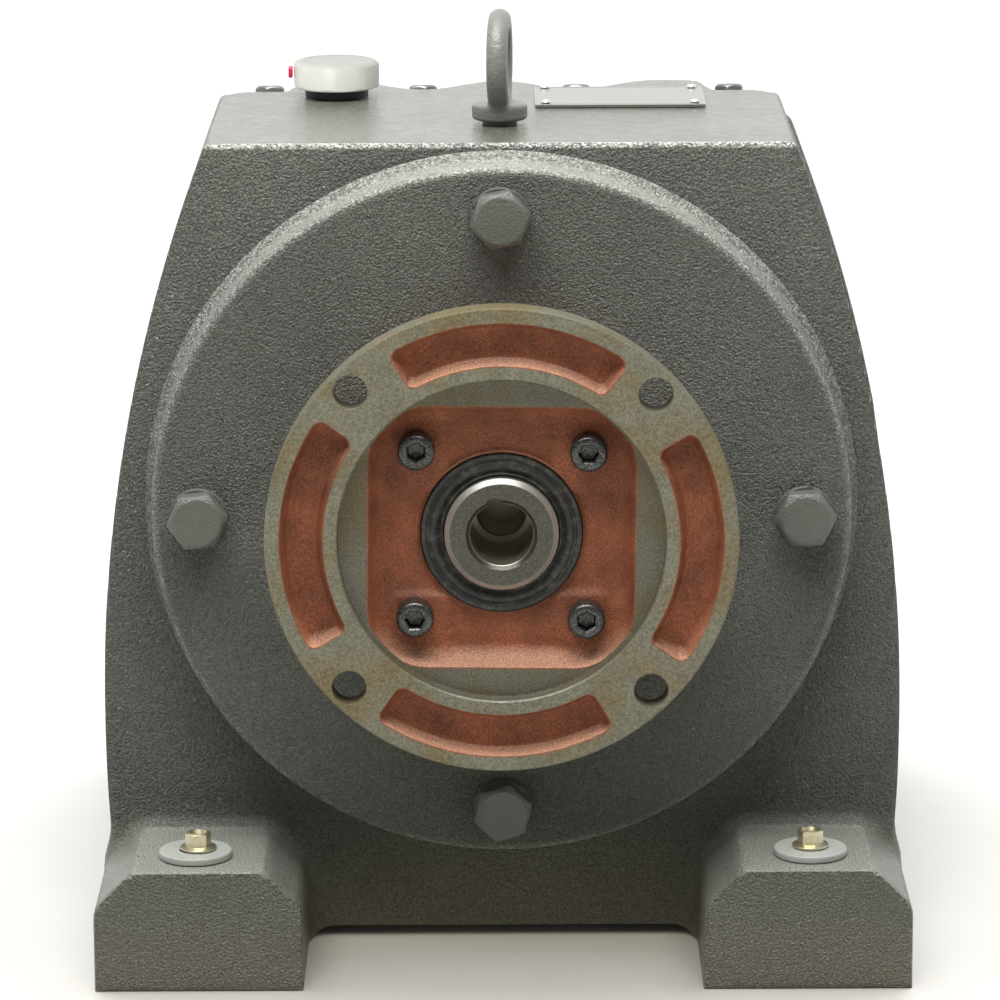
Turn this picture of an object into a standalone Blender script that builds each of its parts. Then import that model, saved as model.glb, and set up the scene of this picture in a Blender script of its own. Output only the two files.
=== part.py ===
"""Foot-mounted in-line helical gearbox with a C-face motor input.

Two gear stages in a one-piece cast case: a hollow input shaft (quill) drives a lay shaft below it, and the
lay shaft drives the output shaft, which lies on the input's axis. Lengths here are millimetres. Depth runs
along +Y from the motor flange's front face to the end of the output shaft, X is to the right when facing the
input, and heights are above the ground under the feet. The origin is on the ground, midway along the depth.
"""

import math

import bmesh
import bpy
from mathutils import Matrix, Vector

MM = 0.001
GAP = 0.3  # clearance between neighbouring solids

# Overall layout
LENGTH = 412.0
AXIS_HEIGHT = 164.0
DECK_HEIGHT = 294.0
CASE_FRONT = 61.0
CASE_REAR = 300.0
WALL = 9.0
CEILING_THICKNESS = 8.0

# Case section: flat deck, sides on one large arc, flat belly
DECK_HALF_WIDTH = 104.0
SIDE_HALF_WIDTH = 144.0
SIDE_ARC_RADIUS = 575.0
WIDEST_HEIGHT = 84.0
BELLY_HEIGHT = 5.0
PLATFORM_HEIGHT = 282.0

# The platform behind the deck, with all that is screwed to it, falls towards the rear. It is drawn level and
# then leant back about a line across the deck.
PLATFORM_FALL = math.radians(10.5)
PLATFORM_PIVOT_DEPTH = 200.0

# Behind the deck the right side stands a little further out than in front, for the platform's flange
REAR_PART_START = 186.0
REAR_PART_SHIFT = 5.2
REAR_PART_TOP_SHIFT = 0.6
REAR_PART_TAPER_START = 174.0
REAR_PART_BOTTOM = 60.0
REAR_PART_TOP = 291.0

# Feet
FOOT_FRONT = 2.0
FOOT_REAR = 342.0
FOOT_INNER = 71.0
FOOT_OUTER = 145.0
FOOT_HEIGHT = 44.0
FOOT_CHAMFER = 13.5
FOOT_HOLE_X = 109.5
FOOT_HOLE_DEPTHS = (22.0, 322.0)
FOOT_HOLE_RADIUS = 7.0

# Motor flange, 6.5 in across with a 4.5 in pilot and holes on 5.875 in
FLANGE_RADIUS = 82.55
FLANGE_THICKNESS = 10.6
FLANGE_HUB_RADIUS = 63.0
PILOT_RADIUS = 57.15
PILOT_DEPTH = 6.0
POCKET_HALF_WIDTH = 46.5
POCKET_CORNER = 21.0
POCKET_FLOOR = 15.5
ARC_POCKET_INNER = 62.5
ARC_POCKET_OUTER = 77.0
ARC_POCKET_HALF_ANGLE = 32.5
ARC_POCKET_DEPTH = 6.5
ARC_POCKET_TURN = -2.3  # degrees: the cast pockets aren't quite square with the drilled holes
FLANGE_HOLE_CIRCLE = 149.2
FLANGE_HOLE_RADIUS = 5.95
FLANGE_SCREW_CIRCLE = 84.9
FLANGE_TURN = -0.8  # degrees: the flange sits a little off square, within its screws' clearance
FLANGE_HOLES_START = 45 + FLANGE_TURN

# Input cover
COVER_RADIUS = 125.0
COVER_FACE = 41.0
COVER_FLARE = 5.0  # how far the rim widens where it meets the case
COVER_FLARE_LENGTH = 7.0
COVER_REGISTER_RADIUS = 97.0
COVER_REGISTER_END = 74.0
COVER_BOLT_CIRCLE = 215.0
COVER_BOLT_SPINS = (0.05, 0.21, 0.12, 0.3)  # radians, as the four bolts happened to tighten
LOCK_WASHER_THICKNESS = 2.6
COVER_HEAD_HEIGHT = 7.5

# Shaft lines and gears: both stages share one centre distance
MODULE = 2.5
PRESSURE_ANGLE = math.radians(20)
HELIX_ANGLE = math.radians(15)
ADDENDUM = 0.85 * MODULE
DEDENDUM = 1.2 * MODULE
TOOTH_THINNING = 0.07
INPUT_TEETH = 16
LAY_GEAR_TEETH = 48
LAY_PINION_TEETH = 14
OUTPUT_TEETH = 50
CENTRE_DISTANCE = MODULE * (INPUT_TEETH + LAY_GEAR_TEETH) / 2
LAY_HEIGHT = AXIS_HEIGHT - CENTRE_DISTANCE
FIRST_MESH_DEPTH = 98.0
SECOND_MESH_DEPTH = 192.0

# Inner web that carries the output shaft's inner bearing and the lay shaft's front bearing
WEB_FRONT = 128.0
WEB_REAR = 144.0
REAR_WALL_INSIDE = 280.0

# Standard ball bearings: bore radius, outer radius, width
BEARING_6008 = (20.0, 34.0, 15.0)
BEARING_6208 = (20.0, 40.0, 18.0)
BEARING_6205 = (12.5, 26.0, 15.0)
BEARING_6210 = (25.0, 45.0, 20.0)
BEARING_FIT = 0.4

# Quill
QUILL_FACE = 10.6
QUILL_RADIUS = 20.0
QUILL_BORE_RADIUS = 11.15
QUILL_KEYWAY_WIDTH = 4.76
QUILL_KEYWAY_TOP = 13.4
KEYWAY_TILT = math.radians(12)  # the shaft rests with its keyway this far left of the top

# Inspection cover behind the deck
INSPECTION_SCREW_X = (-87.0, -29.0, 29.0, 87.0)
INSPECTION_SCREW_DEPTHS = (200.0, 286.0)
INSPECTION_PLATE_THICKNESS = 6.0
TONGUE_RADIUS = 7.0
HATCH = (-76.0, 215.0, 76.0, 273.0)  # opening under the cover, as x and depth of two corners
GASKET_THICKNESS = 1.0

# Output end
OUTPUT_COVER_RADIUS = 66.0
OUTPUT_COVER_FACE = 312.0
OUTPUT_COVER_BOLT_CIRCLE = 112.0
OUTPUT_SHAFT_RADIUS = 22.5
OUTPUT_KEY_WIDTH = 14.0
PLUG_PLACES = ((-92.0, 118.0), (0.0, 29.0))  # oil level and oil drain plug, in the rear wall

# Things on the deck
EYEBOLT_DEPTH = 105.5
EYEBOLT_HEIGHT = 41.3
EYE_RADIUS = 14.4
EYE_BAR_RADIUS = 4.15
EYE_TURN = math.radians(86)  # almost square across the case
BREATHER_X = -60.8
BREATHER_DEPTH = 172.0
PLATE_LEFT = 13.0
PLATE_RIGHT = 76.0
PLATE_FRONT = 141.0
PLATE_REAR = 185.5
RIVET_INSET = 4.0

ROUND = 36
SMALL_ROUND = 20
BOLT_SIDES = 12
HOLE_SIDES = 8


# ---------------------------------------------------------------- materials

def make_material(name, colour, roughness, metallic):
    material = bpy.data.materials.new(name)
    material.use_nodes = True
    shader = material.node_tree.nodes["Principled BSDF"]
    shader.inputs["Base Color"].default_value = (*colour, 1.0)
    shader.inputs["Roughness"].default_value = roughness
    shader.inputs["Metallic"].default_value = metallic
    return material


def make_materials():
    looks = {
        "case_paint": ((0.105, 0.118, 0.112), 0.42, 0.0),
        "machined_flange": ((0.32, 0.29, 0.23), 0.45, 0.8),
        "bolt_steel": ((0.12, 0.125, 0.12), 0.4, 0.3),
        "black_screw": ((0.03, 0.03, 0.032), 0.4, 0.6),
        "seal_rubber": ((0.012, 0.012, 0.014), 0.5, 0.0),
        "bright_steel": ((0.62, 0.61, 0.58), 0.25, 1.0),
        "zinc_yellow": ((0.55, 0.47, 0.24), 0.35, 0.9),
        "washer_paint": ((0.3, 0.32, 0.3), 0.45, 0.0),
        "white_plastic": ((0.72, 0.71, 0.65), 0.5, 0.0),
        "red_plastic": ((0.7, 0.02, 0.08), 0.4, 0.0),
        "black_plastic": ((0.02, 0.015, 0.025), 0.5, 0.0),
        "plate_aluminium": ((0.7, 0.7, 0.66), 0.35, 0.9),
        "gasket_fibre": ((0.2, 0.16, 0.1), 0.8, 0.0),
    }
    return {name: make_material(name, *look) for name, look in looks.items()}


# ---------------------------------------------------------------- mesh helpers

def row_point(x, depth, height):
    """A point of the gearbox in metres, in the part's own frame."""
    return Vector((x * MM, (depth - LENGTH / 2) * MM, height * MM))


def add_object(name, bm, material, location, smooth_angle=30):
    bmesh.ops.remove_doubles(bm, verts=bm.verts, dist=1e-6)
    bmesh.ops.recalc_face_normals(bm, faces=bm.faces)
    mesh = bpy.data.meshes.new(name)
    bm.to_mesh(mesh)
    bm.free()
    mesh.shade_smooth()
    mesh.set_sharp_from_angle(angle=math.radians(smooth_angle))
    if material:
        mesh.materials.append(material)
    obj = bpy.data.objects.new(name, mesh)
    obj.location = location
    bpy.context.scene.collection.objects.link(obj)
    return obj


def copy_object(original, name, location, spin=0.0):
    """Another object with the same mesh, turned about its own Y axis."""
    twin = bpy.data.objects.new(name, original.data)
    twin.location = location
    twin.rotation_euler = (0, spin, 0)
    bpy.context.scene.collection.objects.link(twin)
    return twin


def spin_outline(bm, outline, segments):
    """Turns (radius, depth) points about Y. An outline that ends on the axis at both ends makes a solid."""
    points = [bm.verts.new((radius * MM, depth * MM, 0)) for radius, depth in outline]
    pairs = list(zip(points, points[1:]))
    if min(radius for radius, _ in outline) > 0:
        pairs.append((points[-1], points[0]))
    edges = [bm.edges.new(pair) for pair in pairs]
    bmesh.ops.spin(
        bm,
        geom=points + edges,
        cent=(0, 0, 0),
        axis=(0, 1, 0),
        angle=2 * math.pi,
        steps=segments,
        use_merge=True,
    )


def turned(name, material, outline, centre=(0.0, AXIS_HEIGHT), segments=ROUND):
    """A turned piece on a line along Y. Depths in the outline count from the flange face."""
    start = min(depth for _, depth in outline)
    bm = bmesh.new()
    spin_outline(bm, [(radius, depth - start) for radius, depth in outline], segments)
    return add_object(name, bm, material, row_point(centre[0], start, centre[1]))


def add_prism(bm, outline, start, end, axis="Y"):
    """Extrudes an outline along an axis. Its points are (x, height) for axis Y and (x, depth) for axis Z."""
    if axis == "Y":
        points = [row_point(x, start, z) for x, z in outline]
        step = Vector((0, (end - start) * MM, 0))
    else:
        points = [row_point(x, depth, start) for x, depth in outline]
        step = Vector((0, 0, (end - start) * MM))
    face = bm.faces.new([bm.verts.new(point) for point in points])
    grown = bmesh.ops.extrude_face_region(bm, geom=[face])
    moved = [item for item in grown["geom"] if isinstance(item, bmesh.types.BMVert)]
    bmesh.ops.translate(bm, verts=moved, vec=step)


def circle(cx, cy, radius, sides, start=0.0):
    found = []
    for k in range(sides):
        angle = start + 2 * math.pi * k / sides
        found.append((cx + radius * math.cos(angle), cy + radius * math.sin(angle)))
    return found


def hole(x, y, shank_radius):
    """A clearance hole's outline, an octagon whose flats clear the shank by the usual gap."""
    return circle(x, y, (shank_radius + GAP) / math.cos(math.pi / HOLE_SIDES), HOLE_SIDES)


def arc(cx, cy, radius, first, last, steps):
    """Points on an arc, both ends included. Angles in degrees."""
    found = []
    for k in range(steps + 1):
        angle = math.radians(first + (last - first) * k / steps)
        found.append((cx + radius * math.cos(angle), cy + radius * math.sin(angle)))
    return found


def rounded_box(x0, y0, x1, y1, radius, steps=4):
    return (
        arc(x1 - radius, y1 - radius, radius, 0, 90, steps)
        + arc(x0 + radius, y1 - radius, radius, 90, 180, steps)
        + arc(x0 + radius, y0 + radius, radius, 180, 270, steps)
        + arc(x1 - radius, y0 + radius, radius, 270, 360, steps)
    )


def cutter(name, prisms):
    """A helper solid made of separate prisms, each (outline, start, end, axis)."""
    bm = bmesh.new()
    for outline, start, end, axis in prisms:
        add_prism(bm, outline, start, end, axis)
    obj = add_object(name, bm, None, (0, 0, 0))
    obj.hide_render = True
    obj.display_type = "WIRE"
    return obj


def boolean(obj, other, operation="DIFFERENCE"):
    modifier = obj.modifiers.new(f"{operation.lower()} {other.name}", "BOOLEAN")
    modifier.operation = operation
    modifier.object = other
    modifier.solver = "EXACT"


def guide(obj):
    """Marks a solid that only helps a Boolean."""
    obj.hide_render = True
    obj.display_type = "WIRE"
    return obj


def lean_back(obj):
    """Leans a solid drawn level back onto the falling platform."""
    pivot = row_point(0, PLATFORM_PIVOT_DEPTH, DECK_HEIGHT)
    turn = Matrix.Rotation(-PLATFORM_FALL, 4, "X")
    obj.location = turn @ (obj.location - pivot) + pivot
    obj.rotation_euler.x -= PLATFORM_FALL
    return obj


def on_circle(diameter, count, first_angle=0.0):
    """(x, z) offsets of points evenly spaced on a circle."""
    return circle(0, 0, diameter / 2, count, math.radians(first_angle))


def hex_radii(across_flats):
    """Radii of a hexagon's corners and flats, in turn, for a ring of BOLT_SIDES points."""
    flat = across_flats / 2
    corner = flat / math.cos(math.pi / 6)
    return [corner, flat] * (BOLT_SIDES // 2)


def add_rings(bm, rings):
    """A closed solid through rings of BOLT_SIDES points. Each ring is (radius or radii, depth)."""
    loops = []
    for radii, depth in rings:
        values = [radii] * BOLT_SIDES if isinstance(radii, (int, float)) else radii
        loop = []
        for k, radius in enumerate(values):
            angle = 2 * math.pi * k / BOLT_SIDES
            point = (radius * math.cos(angle), depth, radius * math.sin(angle))
            loop.append(bm.verts.new(Vector(point) * MM))
        loops.append(loop)
    for first, second in zip(loops, loops[1:]):
        for k in range(BOLT_SIDES):
            after = (k + 1) % BOLT_SIDES
            bm.faces.new((first[k], first[after], second[after], second[k]))
    bm.faces.new(loops[0])
    bm.faces.new(loops[-1])


def ring_solid(name, material, rings, location):
    bm = bmesh.new()
    add_rings(bm, rings)
    return add_object(name, bm, material, location)


# ---------------------------------------------------------------- gears

def involute(angle):
    return math.tan(angle) - angle


def tooth_outline(teeth, first_tooth):
    """A gear's outline in its middle plane, as angles and radii. first_tooth is a tooth's centre angle."""
    pitch = MODULE * teeth / 2
    base = pitch * math.cos(PRESSURE_ANGLE)
    tip = pitch + ADDENDUM
    root = pitch - DEDENDUM
    half_pitch = math.pi / (2 * teeth) * (1 - TOOTH_THINNING) + involute(PRESSURE_ANGLE)
    flank = []
    if base > root:
        flank.append((half_pitch + 0.12 * math.pi / teeth, root))
    for radius in (max(base, root), pitch, tip):
        flank.append((half_pitch - involute(math.acos(min(1.0, base / radius))), radius))
    outline = []
    for k in range(teeth):
        centre = first_tooth + 2 * math.pi * k / teeth
        outline += [(centre - half, radius) for half, radius in flank]
        outline += [(centre + half, radius) for half, radius in reversed(flank)]
    return outline


def gear(name, material, teeth, first_tooth, middle, width, hand, height, bore=0.0, layers=1):
    """A helical gear or pinion. hand is +1 or -1, and a pair has opposite hands."""
    outline = tooth_outline(teeth, first_tooth)
    twist = hand * math.tan(HELIX_ANGLE) / (MODULE * teeth / 2)
    bm = bmesh.new()
    loops = []
    bores = []
    for layer in range(layers + 1):
        offset = width * (layer / layers - 0.5)
        turn = twist * offset
        loops.append(
            [
                bm.verts.new((r * MM * math.cos(a + turn), offset * MM, r * MM * math.sin(a + turn)))
                for a, r in outline
            ]
        )
    for first, second in zip(loops, loops[1:]):
        for k in range(len(first)):
            after = (k + 1) % len(first)
            bm.faces.new((first[k], first[after], second[after], second[k]))
    for loop, offset in ((loops[0], -width / 2), (loops[-1], width / 2)):
        if bore:
            round_hole = circle(0, 0, bore, SMALL_ROUND)
            ring = [bm.verts.new((x * MM, offset * MM, z * MM)) for x, z in round_hole]
            bores.append(ring)
            rim = [bm.edges.get((a, b)) for a, b in zip(loop, loop[1:] + loop[:1])]
            inner = [bm.edges.new((a, b)) for a, b in zip(ring, ring[1:] + ring[:1])]
            bmesh.ops.triangle_fill(bm, edges=rim + inner, use_beauty=True)
        else:
            bm.faces.new(loop)
    if bore:
        for k in range(SMALL_ROUND):
            after = (k + 1) % SMALL_ROUND
            bm.faces.new((bores[0][k], bores[0][after], bores[1][after], bores[1][k]))
    return add_object(name, bm, material, row_point(0, middle, height), smooth_angle=20)


# ---------------------------------------------------------------- case

def case_section(inset=0.0, bottom=BELLY_HEIGHT, top=DECK_HEIGHT):
    """The outline of the case across its axis, as (x, height), moved inwards by inset."""
    radius = SIDE_ARC_RADIUS - inset
    centre = SIDE_HALF_WIDTH - SIDE_ARC_RADIUS
    low = math.degrees(math.asin((bottom - WIDEST_HEIGHT) / radius))
    high = math.degrees(math.asin((top - WIDEST_HEIGHT) / radius))
    right = arc(centre, WIDEST_HEIGHT, radius, low, high, 8)
    left = [(-x, height) for x, height in reversed(right)]
    return right + left


def rear_part_shift(height):
    """How far the right side behind the deck stands out from the front's, less towards the top."""
    share = (height - REAR_PART_TAPER_START) / (REAR_PART_TOP - REAR_PART_TAPER_START)
    return REAR_PART_SHIFT + (REAR_PART_TOP_SHIFT - REAR_PART_SHIFT) * max(0.0, share)


def rear_part_section():
    """The wider right side behind the deck, from the case's middle outwards, as (x, height)."""
    radius = SIDE_ARC_RADIUS
    centre = SIDE_HALF_WIDTH - SIDE_ARC_RADIUS
    low = math.degrees(math.asin((REAR_PART_BOTTOM - WIDEST_HEIGHT) / radius))
    high = math.degrees(math.asin((REAR_PART_TOP - WIDEST_HEIGHT) / radius))
    front_side = arc(centre, WIDEST_HEIGHT, radius, low, high, 8)
    side = [(min(x + rear_part_shift(height), FOOT_OUTER), height) for x, height in front_side]
    inner = SIDE_HALF_WIDTH / 2
    return [(inner, REAR_PART_BOTTOM - REAR_PART_SHIFT)] + side + [(inner, REAR_PART_TOP)]


def foot_section(side):
    inner, outer, cut = FOOT_INNER, FOOT_OUTER, FOOT_CHAMFER
    outline = [
        (inner, 0),
        (outer, 0),
        (outer, FOOT_HEIGHT - cut),
        (outer - cut, FOOT_HEIGHT),
        (inner + cut, FOOT_HEIGHT),
        (inner, FOOT_HEIGHT - cut),
    ]
    return [(side * x, height) for x, height in outline]


def deck_rear_edge():
    """The deck's rear edge as (x, depth): it bends forward round the four front inspection screws."""
    right = [(DECK_HALF_WIDTH + 20, 176), (103, 178), (98, 185), (77, 188), (76, 210), (53, 212)]
    screw_x = INSPECTION_SCREW_X[2]
    wave = []
    for x in (44, 36.5, screw_x, 21.5, 14, 7, 0):
        wave.append((x, 202 + 10 * math.cos(math.pi * x / screw_x)))
    half = right + wave
    return half + [(-x, depth) for x, depth in reversed(half[:-1])]


def make_case(materials):
    bm = bmesh.new()
    add_prism(bm, case_section(), CASE_FRONT, CASE_REAR)
    case = add_object("gear_case", bm, materials["case_paint"], (0, 0, 0))
    feet = cutter("feet_shape", [(foot_section(side), FOOT_FRONT, FOOT_REAR, "Y") for side in (1, -1)])
    boolean(case, feet, "UNION")
    rear_part = cutter("rear_part", [(rear_part_section(), REAR_PART_START, CASE_REAR, "Y")])
    boolean(case, rear_part, "UNION")

    ceiling = PLATFORM_HEIGHT - CEILING_THICKNESS
    cavity = case_section(WALL, BELLY_HEIGHT + WALL, ceiling)
    boolean(case, cutter("front_room", [(cavity, CASE_FRONT + 14, WEB_FRONT, "Y")]))
    rear_room = cutter("rear_room", [(cavity, WEB_REAR, REAR_WALL_INSIDE, "Y")])
    above = rounded_box(-150, WEB_REAR - 20, 150, CASE_REAR + 20, 5)
    boolean(rear_room, lean_back(cutter("rear_ceiling", [(above, ceiling, DECK_HEIGHT + 10, "Z")])))
    boolean(case, rear_room)

    step = deck_rear_edge() + [(-130, CASE_REAR + 15), (130, CASE_REAR + 15)]
    boolean(case, lean_back(cutter("platform_cut", [(step, PLATFORM_HEIGHT, DECK_HEIGHT + 40, "Z")])))

    main = (0.0, AXIS_HEIGHT)
    lay = (0.0, LAY_HEIGHT)
    bores = [
        (circle(*main, COVER_REGISTER_RADIUS + GAP, ROUND), CASE_FRONT - 5, CASE_FRONT + 18, "Y"),
        (circle(*main, BEARING_6208[1] + BEARING_FIT, SMALL_ROUND), WEB_FRONT - 3, WEB_REAR + 3, "Y"),
        (circle(*lay, BEARING_6205[1] + BEARING_FIT, SMALL_ROUND), WEB_FRONT - 3, WEB_REAR + 3, "Y"),
        (circle(*main, BEARING_6210[1] + BEARING_FIT, SMALL_ROUND), REAR_WALL_INSIDE - 3, CASE_REAR + 5, "Y"),
        (circle(*lay, BEARING_6205[1] + BEARING_FIT, SMALL_ROUND), REAR_WALL_INSIDE - 3, CASE_REAR - 5, "Y"),
    ]
    boolean(case, cutter("case_bores", bores))

    platform_openings = [(rounded_box(*HATCH, 10), PLATFORM_HEIGHT - 20, DECK_HEIGHT, "Z")]
    for x in INSPECTION_SCREW_X:
        for depth in INSPECTION_SCREW_DEPTHS:
            platform_openings.append((hole(x, depth, 3), PLATFORM_HEIGHT - 12, DECK_HEIGHT + 5, "Z"))
    boolean(case, lean_back(cutter("platform_openings", platform_openings)))

    holes = []
    for x, z in on_circle(COVER_BOLT_CIRCLE, 4):
        holes.append((hole(x, AXIS_HEIGHT + z, 6), CASE_FRONT - 5, CASE_FRONT + 20, "Y"))
    for x, z in on_circle(OUTPUT_COVER_BOLT_CIRCLE, 4, 45):
        holes.append((hole(x, AXIS_HEIGHT + z, 4), CASE_REAR - 16, CASE_REAR + 5, "Y"))
    for side in (1, -1):
        for depth in FOOT_HOLE_DEPTHS:
            holes.append((circle(side * FOOT_HOLE_X, depth, FOOT_HOLE_RADIUS, 16), -5, FOOT_HEIGHT + 5, "Z"))
    holes.append((hole(0, EYEBOLT_DEPTH, 6), DECK_HEIGHT - 18, DECK_HEIGHT + 5, "Z"))
    holes.append((hole(BREATHER_X, BREATHER_DEPTH, 8), DECK_HEIGHT - 25, DECK_HEIGHT + 5, "Z"))
    for x, depth in rivet_places():
        holes.append((hole(x, depth, 0.9), DECK_HEIGHT - 5, DECK_HEIGHT + 5, "Z"))
    for x, height in PLUG_PLACES:
        holes.append((hole(x, height, 7), REAR_WALL_INSIDE - 5, CASE_REAR + 5, "Y"))
    boolean(case, cutter("case_holes", holes))
    return case


def rivet_places():
    return [
        (x, depth)
        for depth in (PLATE_FRONT + RIVET_INSET, PLATE_REAR - RIVET_INSET)
        for x in (PLATE_LEFT + RIVET_INSET, PLATE_RIGHT - RIVET_INSET)
    ]


# ---------------------------------------------------------------- input side

def make_input_cover(materials):
    outline = [
        (20 + 3, COVER_FACE),
        (COVER_RADIUS - 3, COVER_FACE),
        (COVER_RADIUS, COVER_FACE + 3),
        (COVER_RADIUS, CASE_FRONT - COVER_FLARE_LENGTH),
        (COVER_RADIUS + COVER_FLARE, CASE_FRONT - GAP),
        (COVER_REGISTER_RADIUS, CASE_FRONT - GAP),
        (COVER_REGISTER_RADIUS, COVER_REGISTER_END),
        (BEARING_6208[1] + BEARING_FIT, COVER_REGISTER_END),
        (BEARING_6208[1] + BEARING_FIT, 54),
        (20 + 3, 54),
    ]
    cover = turned("input_cover", materials["case_paint"], outline)
    holes = []
    for x, z in on_circle(COVER_BOLT_CIRCLE, 4):
        holes.append((hole(x, AXIS_HEIGHT + z, 6), COVER_FACE - 5, CASE_FRONT + 3, "Y"))
    for x, z in on_circle(FLANGE_SCREW_CIRCLE, 4, FLANGE_HOLES_START):
        holes.append((hole(x, AXIS_HEIGHT + z, 4), COVER_FACE - 5, COVER_FACE + 11.5, "Y"))
    boolean(cover, cutter("cover_holes", holes))
    return cover


def make_cover_bolts(materials):
    """M12 hex bolts on spring lock washers."""
    steel = materials["bolt_steel"]
    head = [(hex_radii(19), 0), (hex_radii(19), COVER_HEAD_HEIGHT), (6, COVER_HEAD_HEIGHT), (6, 36)]
    washer_start = COVER_FACE - GAP - LOCK_WASHER_THICKNESS
    bolt_start = washer_start - GAP - COVER_HEAD_HEIGHT
    first_bolt = None
    first_washer = None
    for number, (x, z) in enumerate(on_circle(COVER_BOLT_CIRCLE, 4), 1):
        bolt_place = row_point(x, bolt_start, AXIS_HEIGHT + z)
        washer_place = row_point(x, washer_start, AXIS_HEIGHT + z)
        spin = COVER_BOLT_SPINS[number - 1]
        if first_bolt is None:
            first_bolt = ring_solid(f"cover_bolt_{number}", steel, head, bolt_place)
            first_bolt.rotation_euler = (0, spin, 0)
            first_washer = make_lock_washer(f"cover_lock_washer_{number}", steel, washer_place)
        else:
            copy_object(first_bolt, f"cover_bolt_{number}", bolt_place, spin)
            copy_object(first_washer, f"cover_lock_washer_{number}", washer_place, 1.4 * number)


def make_lock_washer(name, material, place):
    """A spring lock washer for M12: a ring with a narrow split."""
    outer = arc(0, 0, 10.55, 4, 356, 14)
    inner = arc(0, 0, 6.5, 354, 6, 14)
    bm = bmesh.new()
    face = bm.faces.new([bm.verts.new((x * MM, 0, z * MM)) for x, z in outer + inner])
    grown = bmesh.ops.extrude_face_region(bm, geom=[face])
    moved = [item for item in grown["geom"] if isinstance(item, bmesh.types.BMVert)]
    bmesh.ops.translate(bm, verts=moved, vec=(0, LOCK_WASHER_THICKNESS * MM, 0))
    return add_object(name, bm, material, place)


def arc_pocket(middle):
    """One of the four shallow pockets in the flange face, centred on an angle in degrees."""
    half = ARC_POCKET_HALF_ANGLE
    outer = arc(0, AXIS_HEIGHT, ARC_POCKET_OUTER, middle - half, middle + half, 5)
    inner = arc(0, AXIS_HEIGHT, ARC_POCKET_INNER, middle + half, middle - half, 5)
    return outer + inner


def make_motor_flange(materials):
    rear = COVER_FACE - GAP
    seat = BEARING_6008[1] + BEARING_FIT
    outline = [
        (QUILL_RADIUS + 8.6, POCKET_FLOOR - 1.5),
        (33, POCKET_FLOOR - 1.5),
        (33, POCKET_FLOOR - 0.5),
        (PILOT_RADIUS, POCKET_FLOOR - 0.5),
        (PILOT_RADIUS, 0.8),
        (PILOT_RADIUS + 0.8, 0),
        (FLANGE_RADIUS - 0.8, 0),
        (FLANGE_RADIUS, 0.8),
        (FLANGE_RADIUS, FLANGE_THICKNESS),
        (FLANGE_HUB_RADIUS, FLANGE_THICKNESS + 5),
        (FLANGE_HUB_RADIUS, rear),
        (seat, rear),
        (seat, 24),
        (QUILL_RADIUS + 3, 24),
        (QUILL_RADIUS + 3, 22.8),
        (QUILL_RADIUS + 8.6, 22.8),
    ]
    flange = turned("motor_flange", materials["machined_flange"], outline)

    # The pocket behind the pilot recess is a rounded square: a ledge with that opening is added to the bore.
    bm = bmesh.new()
    add_prism(bm, circle(0, AXIS_HEIGHT, PILOT_RADIUS + 1, ROUND), PILOT_DEPTH, POCKET_FLOOR + 2)
    ledge = guide(add_object("flange_ledge", bm, None, (0, 0, 0)))
    half, corner = POCKET_HALF_WIDTH, POCKET_CORNER
    square = rounded_box(-half, AXIS_HEIGHT - half, half, AXIS_HEIGHT + half, corner)
    boolean(ledge, cutter("flange_square", [(square, PILOT_DEPTH - 3, POCKET_FLOOR + 5, "Y")]))
    boolean(flange, ledge, "UNION")

    pockets = [(arc_pocket(90 * k + ARC_POCKET_TURN), -5, ARC_POCKET_DEPTH, "Y") for k in range(4)]
    boolean(flange, cutter("arc_pockets", pockets))

    holes = []
    for x, z in on_circle(FLANGE_HOLE_CIRCLE, 4, FLANGE_HOLES_START):
        holes.append((circle(x, AXIS_HEIGHT + z, FLANGE_HOLE_RADIUS, 16), -5, FLANGE_THICKNESS + 10, "Y"))
    for x, z in on_circle(FLANGE_SCREW_CIRCLE, 4, FLANGE_HOLES_START):
        holes.append((hole(x, AXIS_HEIGHT + z, 4), 5, COVER_FACE + 5, "Y"))
    boolean(flange, cutter("flange_holes", holes))
    return flange


def make_flange_screws(materials):
    """M8 socket head cap screws in the corners of the flange's pocket."""
    socket = [(hex_radii(6), 4.5), (hex_radii(6), 0), (5.9, 0), (6.5, 0.6), (6.5, 8), (4, 8), (4, 43)]
    start = POCKET_FLOOR - 0.5 - GAP - 8
    first = None
    for number, (x, z) in enumerate(on_circle(FLANGE_SCREW_CIRCLE, 4, FLANGE_HOLES_START), 1):
        place = row_point(x, start, AXIS_HEIGHT + z)
        if first is None:
            first = ring_solid(f"flange_screw_{number}", materials["black_screw"], socket, place)
        else:
            copy_object(first, f"flange_screw_{number}", place, 0.35 * number)


def bearing(name, material, size, start, height):
    """A ball bearing as one turned ring, with the groove of its shield in front."""
    inner, outer, width = size
    inner += BEARING_FIT
    land = 0.2 * (outer - inner)
    end = start + width
    outline = [
        (inner, start),
        (inner + land, start),
        (inner + land, start + 1),
        (outer - land, start + 1),
        (outer - land, start),
        (outer, start),
        (outer, end),
        (inner, end),
    ]
    return turned(name, material, outline, (0.0, height), SMALL_ROUND)


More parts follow.
